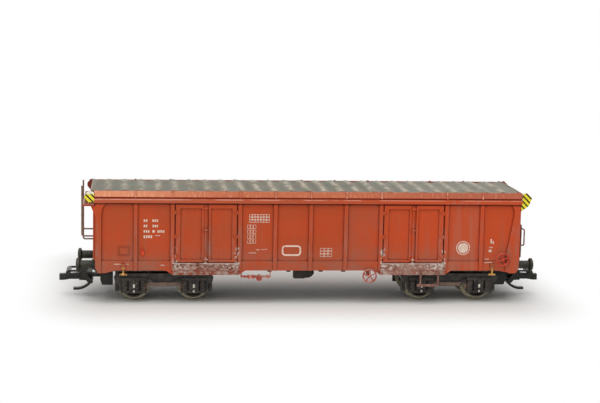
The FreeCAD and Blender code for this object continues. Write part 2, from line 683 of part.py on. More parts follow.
def axle():
    """Stepped axle with a pointed journal at each end."""
    half = CONE_START_Y
    step = WHEEL_OUT_Y
    ring = [(-CONE_END_Y, 0), (-CONE_END_Y, CONE_TIP_R), (-half, JOURNAL_R), (-step, JOURNAL_R),
            (-step, AXLE_R), (step, AXLE_R), (step, JOURNAL_R), (half, JOURNAL_R),
            (CONE_END_Y, CONE_TIP_R), (CONE_END_Y, 0)]
    return lathe_y(ring, 0, AXLE_Z)


def wheel(side):
    """Turned wheel with flange, rim, dished web and hub, pushed onto the axle."""
    back = BACK_TO_BACK / 2
    face = WHEEL_OUT_Y
    web = back + WEB_SET
    ring = [(back, AXLE_R), (back, FLANGE_R - 0.35), (back + 0.12, FLANGE_R - 0.08),
            (back + 0.28, FLANGE_R), (back + 0.42, FLANGE_R - 0.10),
            (back + FLANGE_T, TREAD_R + 0.06), (back + FLANGE_T + 0.25, TREAD_R),
            (face - 0.10, TREAD_R - 0.05), (face, TREAD_R - 0.18), (face, RIM_IN_R),
            (web + WEB_T, RIM_IN_R - 0.15), (web + WEB_T, HUB_R + 0.15), (face, HUB_R), (face, AXLE_R)]
    return lathe_y([(side * y, r) for y, r in ring], 0, AXLE_Z)


# ---------------------------------------------------------------- couplers

def coupler_tray():
    """Lower half of the draw gear housing, built for the +X end."""
    top = BAR_Z1 + SLIDE_GAP
    floor = BAR_Z0 - SLIDE_GAP
    ring = [(TRAY_IN_U, TRAY_Z), (TRAY_OUT_U - 0.45, TRAY_Z), (TRAY_OUT_U, TRAY_Z + 1.3),
            (TRAY_OUT_U, top), (TRAY_IN_U, top)]
    block = plate_xz(ring, -TRAY_Y, TRAY_Y)
    stop = TRAY_OUT_U - TRAY_WALL_OUT
    chamber = box(TRAY_IN_U + TRAY_WALL_IN, stop, -TAIL_Y - SLIDE_GAP, TAIL_Y + SLIDE_GAP, floor, top + 1)
    neck = box(stop - 0.1, TRAY_OUT_U + 1, -BAR_Y - SLIDE_GAP, BAR_Y + SLIDE_GAP, floor, top + 1)
    return block.cut(chamber.fuse(neck))


def draw_bar():
    """Flat bar that slides in the housing, with a tail stop and an eye for the swing pin."""
    parts = [box(TAIL_IN_U, TAIL_OUT_U, -TAIL_Y, TAIL_Y, BAR_Z0, BAR_Z1)]
    parts.append(box(TAIL_IN_U, SWING_U, -BAR_Y, BAR_Y, BAR_Z0, BAR_Z1))
    parts.append(rod((SWING_U, 0, BAR_Z0), (SWING_U, 0, BAR_Z1), BAR_Y))
    eye = rod((SWING_U, 0, BAR_Z0 - 1), (SWING_U, 0, BAR_Z1 + 1), PIN_R + SLIDE_GAP)
    return fuse(parts).cut(eye)


def coupler_head():
    """Coupler body: forked pocket with swing pin and trunnions, and the hook bar."""
    u = SWING_U
    z = COUPLER_Z
    z0 = POCKET_Z0
    z1 = POCKET_Z1
    rear = u - POCKET_REAR
    front = rear + POCKET_L
    pocket = box(rear, front, -POCKET_Y, POCKET_Y, z0, z1)
    fork = box(rear - 1, u + BAR_Y + 0.35, -POCKET_Y - 1, POCKET_Y + 1, BAR_Z0 - SLIDE_GAP, BAR_Z1 + SLIDE_GAP)
    slot = box(front - 0.65, front - 0.35, -POCKET_Y - 1, -POCKET_Y + 0.5, z0 - 1, z1 + 1)
    pocket = pocket.cut(fork.multiFuse([slot, mirror_y(slot)]))
    parts = [pocket, rod((u, 0, z0 + 0.1), (u, 0, z1 - 0.1), PIN_R)]
    tip = u + HOOK_L
    bar = [(front - 0.1, z0), (front + 2.4, z0), (tip - 1.2, z - 1.35), (tip, z - 1.35), (tip, z + 0.20),
           (front + 1.8, z + 0.30), (front - 0.1, z + 0.55)]
    parts.append(plate_xz(bar, -HOOK_W / 2, HOOK_W / 2))
    for side in (-1, 1):
        y = sorted((side * BOW_Y, side * (POCKET_Y - 0.2)))
        parts.append(rod((BOW_PIVOT_U, y[0], BOW_PIVOT_Z), (BOW_PIVOT_U, y[1], BOW_PIVOT_Z), TRUNNION_R))
    return fuse(parts)


def tongue(u, z):
    """Curved release tongue below the bow, as a closed outline in the X-Z plane."""
    outer = []
    inner = []
    start_deg = 214
    sweep_deg = 48
    steps = 8
    for k in range(steps + 1):
        a = math.radians(start_deg + k * sweep_deg / steps)
        outer.append((u + 5.25 * math.cos(a), z + 5.25 * math.sin(a)))
        inner.append((u + (5.25 - TONGUE_T) * math.cos(a), z + (5.25 - TONGUE_T) * math.sin(a)))
    tail = [(outer[-1][0] + 1.3, outer[-1][1]), (outer[-1][0] + 1.3, outer[-1][1] + TONGUE_T)]
    return outer + tail + inner[::-1]


def coupler_bow():
    """Lifting bow: front bar, two arms on the trunnions, a cross tie and the release tongue."""
    u = SWING_U
    z = COUPLER_Z
    arm = [(-1.2, -1.8), (-0.2, -1.8), (0.9, -0.6), (1.7, -0.2), (1.9, 1.2), (4.3, 1.15), (4.6, 0.45),
           (5.3, 0.40), (5.6, 0.75), (5.5, 1.30), (4.9, 1.65), (0.6, 1.65), (0.1, 1.2), (0.0, 0.2),
           (-1.2, -1.3)]
    front = [(4.3, 1.15), (4.6, 0.45), (5.3, 0.40), (5.6, 0.75), (5.5, 1.30), (4.9, 1.65), (4.3, 1.65)]
    parts = [plate_xz([(u + a, z + b) for a, b in front], -BOW_Y, BOW_Y)]
    for side in (-1, 1):
        y = sorted((side * BOW_IN_Y, side * BOW_Y))
        parts.append(plate_xz([(u + a, z + b) for a, b in arm], y[0], y[1]))
    parts.append(box(u - 1.2, u - 0.3, -BOW_Y, BOW_Y, z - 1.8, z - 1.3))
    parts.append(plate_xz(tongue(u + 3.2, z + 1.25), -0.7, 0.7))
    bow = fuse(parts)
    hole = rod((BOW_PIVOT_U, -BOW_Y - 1, BOW_PIVOT_Z), (BOW_PIVOT_U, BOW_Y + 1, BOW_PIVOT_Z),
               TRUNNION_R + SLIDE_GAP)
    return bow.cut(hole)


# ---------------------------------------------------------------- fitted details

def hazard_plate(end):
    """Guard plate on the near corner of one end."""
    low = LIP_BOT_Z
    x = HALF_L + LIP_OUT_X
    if end < 0:
        ring = [(-x, low + 0.20), (-x - 1.6, low + 0.15), (-x - 2.3, low + 1.05), (-x - 2.3, low + 1.85),
                (-x - 1.5, EAVE_Z), (-x - 0.5, EAVE_Z), (-x, EAVE_Z - 0.3)]
    else:
        ring = [(x, EAVE_Z - 0.1), (x + 1.1, EAVE_Z + 0.1), (x + 2.4, low + 1.75), (x + 1.7, low - 0.15),
                (x + 1.1, low - 0.70), (x - LIP_OUT_X, low - 1.65), (x - LIP_OUT_X, low), (x, low)]
    return plate_xz(ring, -LIP_Y, -LIP_Y + 0.30)


def end_platform():
    """Full width grating with a rim, seated against the left end."""
    x0 = PLATFORM_X0
    x1 = PLATFORM_X1
    z1 = PLATFORM_TOP_Z
    z0 = z1 - PLATFORM_T
    deck = box(x0, x1, -LIP_Y, LIP_Y, z0, z1)
    cuts = []
    rows = 14
    pitch = (2 * LIP_Y - 0.8) / rows
    middle = (x0 + x1) / 2
    for k in range(rows):
        y = -LIP_Y + 0.4 + k * pitch
        for a, b in ((x0 + 0.35, middle - 0.12), (middle + 0.12, x1 - 0.35)):
            cuts.append(box(a, b, y + 0.2, y + pitch - 0.2, z0 - 1, z1 + 1))
    return deck.cut(cuts[0].multiFuse(cuts[1:]))


def platform_rail(y, feet):
    """Upright wire outside the platform edge with feet bent back to the end wall."""
    x = PLATFORM_X0 - WIRE_R
    wall = -HALF_L
    top = (x, y, EAVE_Z + 1.1)
    parts = []
    for z in feet:
        parts.append(wire_bar([top, (x, y, z), (wall, y, z)], WIRE_R, 0.5))
    return fuse(parts)


def end_handle(y, z0, z1, reach, seat):
    """Grab handle on the plain end; its lower foot stands out by seat."""
    wall = HALF_L
    out = wall + reach
    path = [(wall, y, z1), (wall + 0.5, y, z1), (out, y, z1 - 0.7), (out, y, z0 - 0.3), (wall + 0.5, y, z0),
            (wall + seat, y, z0)]
    return wire_bar(path, WIRE_R * 0.9, 0.3)


def rope_hook(x):
    """Inverted T hook on the near sill."""
    y0 = -PANEL_Y - SILL_D
    z = BOTTOM_Z
    half = [(0.55, z + 1.80), (0.55, z + 0.65), (0.25, z + 0.35), (0.22, z - 0.65), (0.95, z - 0.90),
            (0.95, z - 1.15)]
    ring = [(x + a, b) for a, b in half] + [(x - a, b) for a, b in reversed(half)]
    return plate_xz(ring, y0 - 0.40, y0)


def step_stirrup():
    """Hanging step below the near right door: a bent wire on the sill board and its tread."""
    face = -POST_Y - BOARD_D
    y = face - 0.40
    x0 = DOOR_X + 2.0
    x1 = DOOR_X + 6.5
    top = THRESHOLD_Z + 0.9
    low = THRESHOLD_Z - 2.6
    path = [(x0, face, top), (x0, y, top), (x0, y, low), (x1, y, low), (x1, y, top), (x1, face, top)]
    toe = box(x0 - 0.9, x1 - 1.2, y - 0.28, y + 0.28, low - 0.28, low + 0.28)
    return fuse([wire_bar(path, 0.22, 0.30), toe])


def changeover():
    """Brake changeover frame hung below the near sill: two legs, rail, tag, ring and knob."""
    y = -PANEL_Y + 0.35
    z = BOTTOM_Z - 1.85
    x0 = -DOOR_X + 8.92
    x1 = x0 + 7.3
    parts = []
    for x in (x0, x1):
        leg = [(x - 0.15, z), (x + 0.15, z), (x + 0.15, lower_edge(x + 0.15)), (x - 0.15, lower_edge(x - 0.15))]
        parts.append(plate_xz(leg, y - 0.2, y + 0.2))
    parts.append(box(x0 - 0.15, x1 + 0.15, y - 0.25, y + 0.25, z, z + 0.45))
    parts.append(box(x0 + 1.6, x0 + 3.3, y - 0.55, y - 0.2, z - 0.25, z + 0.70))
    ring_x = x0 + 4.5
    ring = rod((ring_x, y - 0.5, z - 0.05), (ring_x, y + 0.2, z - 0.05), 0.80)
    parts.append(ring.cut(rod((ring_x, y - 1, z - 0.05), (ring_x, y - 0.25, z - 0.05), 0.45)))
    parts.append(rod((x1 - 0.8, y - 0.6, z + 0.25), (x1 - 0.8, y, z + 0.25), 0.40))
    return fuse(parts)


def hand_wheel(x, y, z, r, spokes):
    """Spoked wheel in the X-Z plane with a hub."""
    parts = [Part.makeTorus(r, RIM_WIRE_R, V(x, y, z), ACROSS), rod((x, y - 0.25, z), (x, y + 0.25, z), 0.38)]
    for k in range(spokes):
        a = math.radians(20 + k * 360 / spokes)
        parts.append(rod((x, y, z), (x + r * math.cos(a), y, z + r * math.sin(a)), 0.15))
    return parts


def side_wheel():
    """Handwheel on the near right end panel, its spindle plugged into the wall."""
    x = SIDE_WHEEL_X
    z = SIDE_WHEEL_Z
    y = -POST_Y - 0.55
    spindle = rod((x, y, z), (x, -PANEL_Y + 0.4, z), SPINDLE_R)
    return fuse(hand_wheel(x, y, z, SIDE_WHEEL_R, 4) + [spindle])


def brake_wheel():
    """Parking brake wheel before the near sill with its spindle and a bracket up to the floor."""
    x = BRAKE_WHEEL_X
    y = -PANEL_Y - SILL_D - RIM_WIRE_R - 0.25
    z = BOTTOM_Z - 1.25
    inner = -INNER_Y + 0.5
    spindle = rod((x, y, z), (x, inner + 0.4, z), SPINDLE_R)
    bracket = box(x - 0.6, x + 0.6, inner, inner + 0.5, z - 0.5, FLOOR_BOT_Z)
    return fuse(hand_wheel(x, y, z, BRAKE_WHEEL_R, 5) + [spindle, bracket])


def air_tank():
    """Reservoir with a domed end and its bracket block, near side."""
    r = 1.5
    z = FLOOR_BOT_Z - r
    y = -INNER_Y + r + 0.1
    body = lathe_x([(-3.0, 0), (-3.0, r), (-0.6, r), (0.2, r - 0.12), (0.9, r - 0.5), (1.3, r - 1.0),
                    (1.4, 0)], y, z)
    return fuse([body, box(-3.9, -1.2, y - r, y + r - 0.3, z - r + 0.1, FLOOR_BOT_Z)])


def brake_cylinder():
    """Brake cylinder with its lever bracket, far side."""
    r = 1.4
    z = FLOOR_BOT_Z - r
    y = INNER_Y - r - 0.7
    body = lathe_x([(-4.0, 0), (-4.0, 0.3), (-2.4, 0.3), (-2.4, r), (1.4, r), (1.8, r - 0.3), (1.8, 0)], y, z)
    return fuse([body, box(-1.5, 1.0, y - 0.8, y + 0.8, z, FLOOR_BOT_Z)])


def build():
    save("body_shell", body_shell())
    save("roof_cover", roof_cover())
    save("chassis", chassis())
    save("ballast", ballast())
    for end, end_name in ((-1, "left"), (1, "right")):
        for side, side_name in ((-1, "near"), (1, "far")):
            save("buffer_%s_%s" % (end_name, side_name), buffer_unit(end, side))
        guard = hazard_plate(end)
        save("guard_%s_near" % end_name, guard)
        save("guard_%s_far" % end_name, mirror_y(guard))
        hook = rope_hook(end * (END_POST_X + 3.0))
        save("rope_hook_%s_near" % end_name, hook)
        save("rope_hook_%s_far" % end_name, mirror_y(hook))
        pivot = end * PIVOT_X
        save("bogie_%s_frame" % end_name, moved(bogie_frame(), pivot))
        save("bogie_%s_brakes" % end_name, moved(bogie_brakes(), pivot))
        save("bogie_%s_screw" % end_name, moved(bogie_screw(), pivot))
        for number, offset in ((1, -WHEELBASE / 2), (2, WHEELBASE / 2)):
            tag = "%s_%d" % (end_name, number)
            save("axle_%s" % tag, moved(axle(), pivot + offset))
            save("wheel_%s_near" % tag, moved(wheel(-1), pivot + offset))
            save("wheel_%s_far" % tag, moved(wheel(1), pivot + offset))
        out = DRAW_REST[end_name]
        gear = {"draw_bar": moved(draw_bar(), out), "coupler_head": moved(coupler_head(), out),
                "coupler_bow": moved(coupler_bow(), out), "coupler_tray": coupler_tray()}
        for name, shape in gear.items():
            save("%s_%s" % (name, end_name), turned(shape) if end < 0 else shape)
    save("end_platform", end_platform())
    rail_top = END_RAIL_Z + END_RAIL_H / 2
    rail_low = END_RAIL_Z - END_RAIL_H / 2
    foot = rail_low - FOOT_BELOW
    save("platform_rail_near", platform_rail(-PANEL_Y + 1.7, (foot,)))
    save("platform_rail_mid", platform_rail(1.5, (foot, foot - FOOT_STEP)))
    handle_y = -PANEL_Y + HANDLE_IN
    short = end_handle(handle_y, rail_low - SHORT_BELOW, rail_top + SHORT_ABOVE, SHORT_REACH, 0)
    tall = end_handle(handle_y + HANDLE_STEP, SILL_TOP_Z + LONG_FOOT, rail_top + LONG_ABOVE, LONG_REACH,
                      LIP_OUT_X)
    save("end_handle_short", short)
    save("end_handle_long", tall)
    for name, shape in (("step", step_stirrup()), ("changeover", changeover()),
                        ("side_wheel", side_wheel()), ("brake_wheel", brake_wheel())):
        save("%s_near" % name, shape)
        save("%s_far" % name, mirror_y(shape))
    save("air_tank", air_tank())
    save("brake_cylinder", brake_cylinder())


build()
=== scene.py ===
import logging
import math
from dataclasses import dataclass
from enum import Enum
from typing import Callable

import bmesh
import bpy
from mathutils import Euler, Matrix, Vector


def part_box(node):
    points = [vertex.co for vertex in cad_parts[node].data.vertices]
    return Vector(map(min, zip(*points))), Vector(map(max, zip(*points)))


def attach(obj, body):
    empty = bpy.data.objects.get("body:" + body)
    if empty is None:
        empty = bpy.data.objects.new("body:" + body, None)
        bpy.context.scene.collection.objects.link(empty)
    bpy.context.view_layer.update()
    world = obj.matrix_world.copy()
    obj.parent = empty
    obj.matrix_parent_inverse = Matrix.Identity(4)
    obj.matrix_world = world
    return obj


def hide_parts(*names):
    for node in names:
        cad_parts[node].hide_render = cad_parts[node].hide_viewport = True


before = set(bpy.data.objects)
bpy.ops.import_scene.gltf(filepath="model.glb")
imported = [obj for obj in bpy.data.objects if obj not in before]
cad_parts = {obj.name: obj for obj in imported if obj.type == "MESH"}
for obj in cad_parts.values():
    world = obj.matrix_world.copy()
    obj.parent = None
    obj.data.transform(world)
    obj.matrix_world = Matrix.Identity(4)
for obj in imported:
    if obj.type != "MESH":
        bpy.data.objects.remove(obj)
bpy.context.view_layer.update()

LOG = logging.getLogger("bogie_van")
MM = 0.001
Place = tuple[float, float, float]
Socket = bpy.types.NodeSocket


class Side(Enum):
    """The two long sides of the van, as the sign of Y."""

    NEAR = -1
    FAR = 1


class End(Enum):
    """The two ends of the van, as the sign of X."""

    LEFT = -1
    RIGHT = 1


class Pick(Enum):
    """What an edit-mode selection picks."""

    FACES = "FACE"
    EDGES = "EDGE"
    POINTS = "VERT"


# ------------------------------------------------------------------ colour and nodes

def srgb(code: str) -> tuple[float, float, float, float]:
    """Turn an sRGB hex colour into linear RGBA.

    Args:
        code: Six hex digits, with or without a leading hash.

    Returns:
        Linear red, green, blue and an alpha of one.
    """
    digits = code.lstrip("#")
    channels = []
    for start in (0, 2, 4):
        value = int(digits[start:start + 2], 16) / 255
        channels.append(value / 12.92 if value <= 0.04045 else ((value + 0.055) / 1.055) ** 2.4)
    return channels[0], channels[1], channels[2], 1.0


def add_node(tree: bpy.types.NodeTree, kind: str, settings: dict | None = None,
             inputs: dict | None = None) -> bpy.types.Node:
    """Add one shader node with its settings, socket values and links.

    Args:
        tree: Node tree that gets the node.
        kind: Blender's node type name.
        settings: Node properties to set.
        inputs: Socket name or number to a value, an sRGB hex colour or the output socket that feeds it.

    Returns:
        The new node.
    """
    node = tree.nodes.new(kind)
    for name, value in (settings or {}).items():
        setattr(node, name, value)
    for name, value in (inputs or {}).items():
        if isinstance(value, Socket):
            tree.links.new(value, node.inputs[name])
        else:
            node.inputs[name].default_value = srgb(value) if isinstance(value, str) else value
    return node


class Step(Enum):
    """Steps that a finish is worked out in: node type, settings, the sockets fed in order, and output."""

    ADD = ("ShaderNodeMath", {"operation": "ADD"}, (0, 1), 0)
    SUBTRACT = ("ShaderNodeMath", {"operation": "SUBTRACT"}, (0, 1), 0)
    MULTIPLY = ("ShaderNodeMath", {"operation": "MULTIPLY"}, (0, 1), 0)
    LARGER = ("ShaderNodeMath", {"operation": "MAXIMUM"}, (0, 1), 0)
    ABSOLUTE = ("ShaderNodeMath", {"operation": "ABSOLUTE"}, (0,), 0)
    ROOT = ("ShaderNodeMath", {"operation": "SQRT"}, (0,), 0)
    ZIGZAG = ("ShaderNodeMath", {"operation": "PINGPONG"}, (0, 1), 0)
    ABOVE = ("ShaderNodeMath", {"operation": "GREATER_THAN"}, (0, 1), 0)
    FADE = ("ShaderNodeMapRange", {"interpolation_type": "SMOOTHSTEP", "clamp": True},
            ("Value", "From Min", "From Max", "To Min", "To Max"), 0)
    COAT = ("ShaderNodeMix", {"data_type": "RGBA"}, (0, 6, 7), 2)


class Surface:
    """A material under construction: a principled shader and the patterns that feed it."""

    def __init__(self, name: str, colour: str, roughness: float, metallic: float = 0.0,
                 specular: float = 0.5) -> None:
        """Start a material.

        Args:
            name: Name of the material, in words a maker would use.
            colour: sRGB hex colour that the coats go over.
            roughness: Base roughness of the finish.
            metallic: One for bare metal, zero for plastic or paint.
            specular: Specular level; 0.5 is clean plastic, less is a chalky sprayed coat.
        """
        self.colour: Socket | str = colour
        self.material = bpy.data.materials.new(name)
        self.material.use_nodes = True
        self.tree = self.material.node_tree
        self.tree.nodes.clear()
        output = add_node(self.tree, "ShaderNodeOutputMaterial")
        self.shader = add_node(self.tree, "ShaderNodeBsdfPrincipled",
                               inputs={"Roughness": roughness, "Metallic": metallic,
                                       "Specular IOR Level": specular})
        self.tree.links.new(self.shader.outputs[0], output.inputs[0])
        self.place = add_node(self.tree, "ShaderNodeTexCoord").outputs["Object"]
        self.axes = add_node(self.tree, "ShaderNodeSeparateXYZ", inputs={0: self.place}).outputs
        normal = add_node(self.tree, "ShaderNodeNewGeometry").outputs["Normal"]
        self.facing = add_node(self.tree, "ShaderNodeSeparateXYZ", inputs={0: normal}).outputs

    def add(self, step: Step, *values: object) -> Socket:
        """Add one step of the finish.

        Args:
            step: What is worked out. FADE takes a value, its limits low and high, and what they give,
                zero and one unless told otherwise. COAT takes a share, the colour below and the one over it.
            values: Numbers, sockets or sRGB hex colours, in the order of the step's sockets.

        Returns:
            The step's output.
        """
        kind, settings, sockets, output = step.value
        return add_node(self.tree, kind, settings, dict(zip(sockets, values))).outputs[output]

    def coat(self, share: Socket, colour: Socket | str) -> None:
        """Lay one more coat over the colour so far, thick where its share is one."""
        self.colour = self.add(Step.COAT, share, self.colour, colour)

    def times(self, *values: object) -> Socket:
        """Multiply two or more numbers or sockets.

        Args:
            values: Numbers or sockets.

        Returns:
            Their product.
        """
        product = values[0]
        for value in values[1:]:
            product = self.add(Step.MULTIPLY, product, value)
        return product

    def slope(self, place: Socket, from_mm: float, to_mm: float, *shares: float) -> Socket:
        """Fade along a place in metres, between two places in millimetres, from zero to one or as told."""
        return self.add(Step.FADE, place, from_mm * MM, to_mm * MM, *shares)

    def band(self, place: Socket, low_mm: float, high_mm: float, soft_mm: float = 0.1) -> Socket:
        """Window that is one between two places and fades out past them.

        Args:
            place: Place in metres.
            low_mm: Lower end of the window in millimetres.
            high_mm: Upper end of the window in millimetres.
            soft_mm: Width of the fade past each end in millimetres.

        Returns:
            The window.
        """
        rise = self.slope(place, low_mm - soft_mm, low_mm)
        fall = self.slope(place, high_mm, high_mm + soft_mm, 1.0, 0.0)
        return self.add(Step.MULTIPLY, rise, fall)

    def mottle(self, size_mm: Place, detail: float = 3.0, shift: float = 0.0) -> Socket:
        """Uneven cover whose patches have a given size along X, Y and Z.

        Args:
            size_mm: Patch size along each axis in millimetres.
            detail: Number of finer layers.
            shift: Offset that gives another pattern of the same kind.

        Returns:
            The cover, about one half on average.
        """
        scale = tuple(1.0 / (size * MM) for size in size_mm)
        spot = add_node(self.tree, "ShaderNodeMapping", None,
                        {"Vector": self.place, "Location": (shift, shift, shift), "Scale": scale})
        node = add_node(self.tree, "ShaderNodeTexNoise", None,
                        {"Vector": spot.outputs[0], "Scale": 1.0, "Detail": detail, "Roughness": 0.55})
        return node.outputs[0]

    def patches(self, size_mm: Place, low: float, high: float, shift: float = 0.0,
                detail: float = 3.0) -> Socket:
        """Mottling cut into soft patches: zero below low and one above high."""
        return self.add(Step.FADE, self.mottle(size_mm, detail, shift), low, high)

    def hollow(self, reach_mm: float, open_share: float = 0.85) -> Socket:
        """Share of grime and painted shade in corners, one in a tight corner and zero in the open.

        Args:
            reach_mm: How far from a corner the grime and painted shade reach, in millimetres.
            open_share: Openness at which no grime is left.

        Returns:
            The share of grime.
        """
        # Painted shade: ambient occlusion darkens the colour in corners.
        node = add_node(self.tree, "ShaderNodeAmbientOcclusion", {"samples": 8},
                        {"Distance": reach_mm * MM})
        return self.add(Step.FADE, node.outputs["AO"], 0.30, open_share, 1.0, 0.0)

    def grain(self, size_mm: Place, detail: float, shift: float, depth_mm: float, strength: float) -> None:
        """Press a grain into the surface. The spray's own grain is finer; this is as coarse as shows.

        Args:
            size_mm: Grain size along each axis in millimetres.
            detail: Number of finer layers.
            shift: Offset that gives another pattern of the same kind.
            depth_mm: Depth of the grain in millimetres.
            strength: Share of that depth that is felt.
        """
        node = add_node(self.tree, "ShaderNodeBump", None,
                        {"Height": self.mottle(size_mm, detail, shift), "Distance": depth_mm * MM,
                         "Strength": strength})
        self.tree.links.new(node.outputs[0], self.shader.inputs["Normal"])

    def gloss(self, roughness: Socket) -> None:
        """Feed the shader's roughness from a pattern."""
        self.tree.links.new(roughness, self.shader.inputs["Roughness"])

    def finish(self) -> bpy.types.Material:
        """Feed the shader with the colour of all the coats.

        Returns:
            The finished material.
        """
        base = self.shader.inputs["Base Color"]
        if isinstance(self.colour, Socket):
            self.tree.links.new(self.colour, base)
        else:
            base.default_value = srgb(self.colour)
        return self.material


def paint(material: bpy.types.Material, *nodes: str) -> None:
    """Give CAD nodes a material.

    Args:
        material: Material to assign.
        nodes: Names of the CAD nodes.
    """
    for name in nodes:
        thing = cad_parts[name]
        thing.data.materials.clear()
        thing.data.materials.append(material)


# ------------------------------------------------------------------ modelling bench

class Bench:
    """Adds a primitive, shapes it in edit mode and finishes it as a piece."""

    @staticmethod
    def clear() -> None:
        """Leave nothing selected, so that an operator acts on the next primitive alone."""
        if bpy.context.mode != "OBJECT":
            bpy.ops.object.mode_set(mode="OBJECT")
        bpy.ops.object.select_all(action="DESELECT")

    @staticmethod
    def settle(thing: bpy.types.Object) -> bpy.types.Object:
        """Move an object's place, turn and size into its mesh.

        Args:
            thing: Object to settle.

        Returns:
            The same object.
        """
        Bench.focus(thing)
        bpy.ops.object.transform_apply(location=True, rotation=True, scale=True)
        return thing

    @staticmethod
    def focus(thing: bpy.types.Object) -> None:
        """Select one object alone and make it active.

        Args:
            thing: Object to select.
        """
        Bench.clear()
        thing.select_set(True)
        bpy.context.view_layer.objects.active = thing

    @staticmethod
    def pick(thing: bpy.types.Object, kind: Pick, test: Callable[[object], bool]) -> None:
        """Enter edit mode with only the faces, edges or points that pass a test selected.

        Args:
            thing: Object to edit.
            kind: What the test is given.
            test: Says whether one face, edge or point is picked.
        """
        Bench.focus(thing)
        bpy.ops.object.mode_set(mode="EDIT")
        bpy.ops.mesh.select_mode(type=kind.value)
        bpy.ops.mesh.select_all(action="DESELECT")
        mesh = bmesh.from_edit_mesh(thing.data)
        parts = {Pick.FACES: mesh.faces, Pick.EDGES: mesh.edges, Pick.POINTS: mesh.verts}[kind]
        for part in parts:
            if test(part):
                part.select_set(True)
        mesh.select_flush_mode()
        bmesh.update_edit_mesh(thing.data)

    @staticmethod
    def copies(master: bpy.types.Object, places: list[Place], name: str) -> bpy.types.Object:
        """Copy a master to each place, each with its own mesh, and join them as one piece.

        Args:
            master: Shape modelled about the origin; it is used up.
            places: Where each copy goes, in millimetres.
            name: Name of the joined piece.

        Returns:
            The joined piece.
        """
        made = []
        for place in places:
            twin = master.copy()
            twin.data = master.data.copy()
            bpy.context.collection.objects.link(twin)
            twin.location = Vector(place) * MM
            made.append(Bench.settle(twin))
        bpy.data.objects.remove(master)
        Bench.clear()
        for twin in made:
            twin.select_set(True)
        bpy.context.view_layer.objects.active = made[0]
        if len(made) > 1:
            bpy.ops.object.join()
        made[0].name = name
        return made[0]

    @staticmethod
    def thicken(thing: bpy.types.Object, depth: float) -> bpy.types.Object:
        """Give an open sheet depth behind its front, so that it closes as a solid.

        Args:
            thing: Sheet to thicken.
            depth: Depth in millimetres.

        Returns:
            The same object, closed.
        """
        Bench.focus(thing)
        shell = thing.modifiers.new("depth", "SOLIDIFY")
        shell.thickness = depth * MM
        shell.offset = -1.0
        bpy.ops.object.modifier_apply(modifier=shell.name)
        return Bench.settle(thing)

    @staticmethod
    def dress(thing: bpy.types.Object, material: bpy.types.Material, body: str, slot: str,
              smooth_deg: float = 35.0) -> None:
        """Give a finished piece its material, smoothing and body.

        Args:
            thing: Finished piece.
            material: Material all over it.
            body: Rigid body that it rides on.
            slot: Material slot of the part; not used.
            smooth_deg: Edges flatter than this are shaded smooth, in degrees.
        """
        thing.data.materials.clear()
        thing.data.materials.append(material)
        Bench.focus(thing)
        bpy.ops.object.shade_smooth_by_angle(angle=math.radians(smooth_deg))
        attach(thing, body)
        LOG.info("%s on %s", thing.name, body)

    @staticmethod
    def bolt(radius: float, height: float, turn: Place, sides: int = 6) -> bpy.types.Object:
        """Bolt head with a chamfered crown, modelled about the origin.

        Args:
            radius: Radius across the corners in millimetres.
            height: Height of the head in millimetres.
            turn: Rotation in radians that points the head, which rises along +Z before it.
            sides: Number of flats; more make a rivet.

        Returns:
            The bolt head.
        """
        Bench.clear()
        bpy.ops.mesh.primitive_cylinder_add(vertices=sides, radius=radius * MM, depth=height * MM,
                                            rotation=turn)
        head = bpy.context.active_object
        crown = Euler(turn).to_matrix() @ Vector((0, 0, 1))
        Bench.pick(head, Pick.FACES, lambda face: face.normal.z > 0.5)
        bpy.ops.mesh.inset(thickness=radius * 0.25 * MM)
        bpy.ops.transform.translate(value=crown * height * 0.35 * MM)
        return Bench.settle(head)


# ------------------------------------------------------------------ finishes

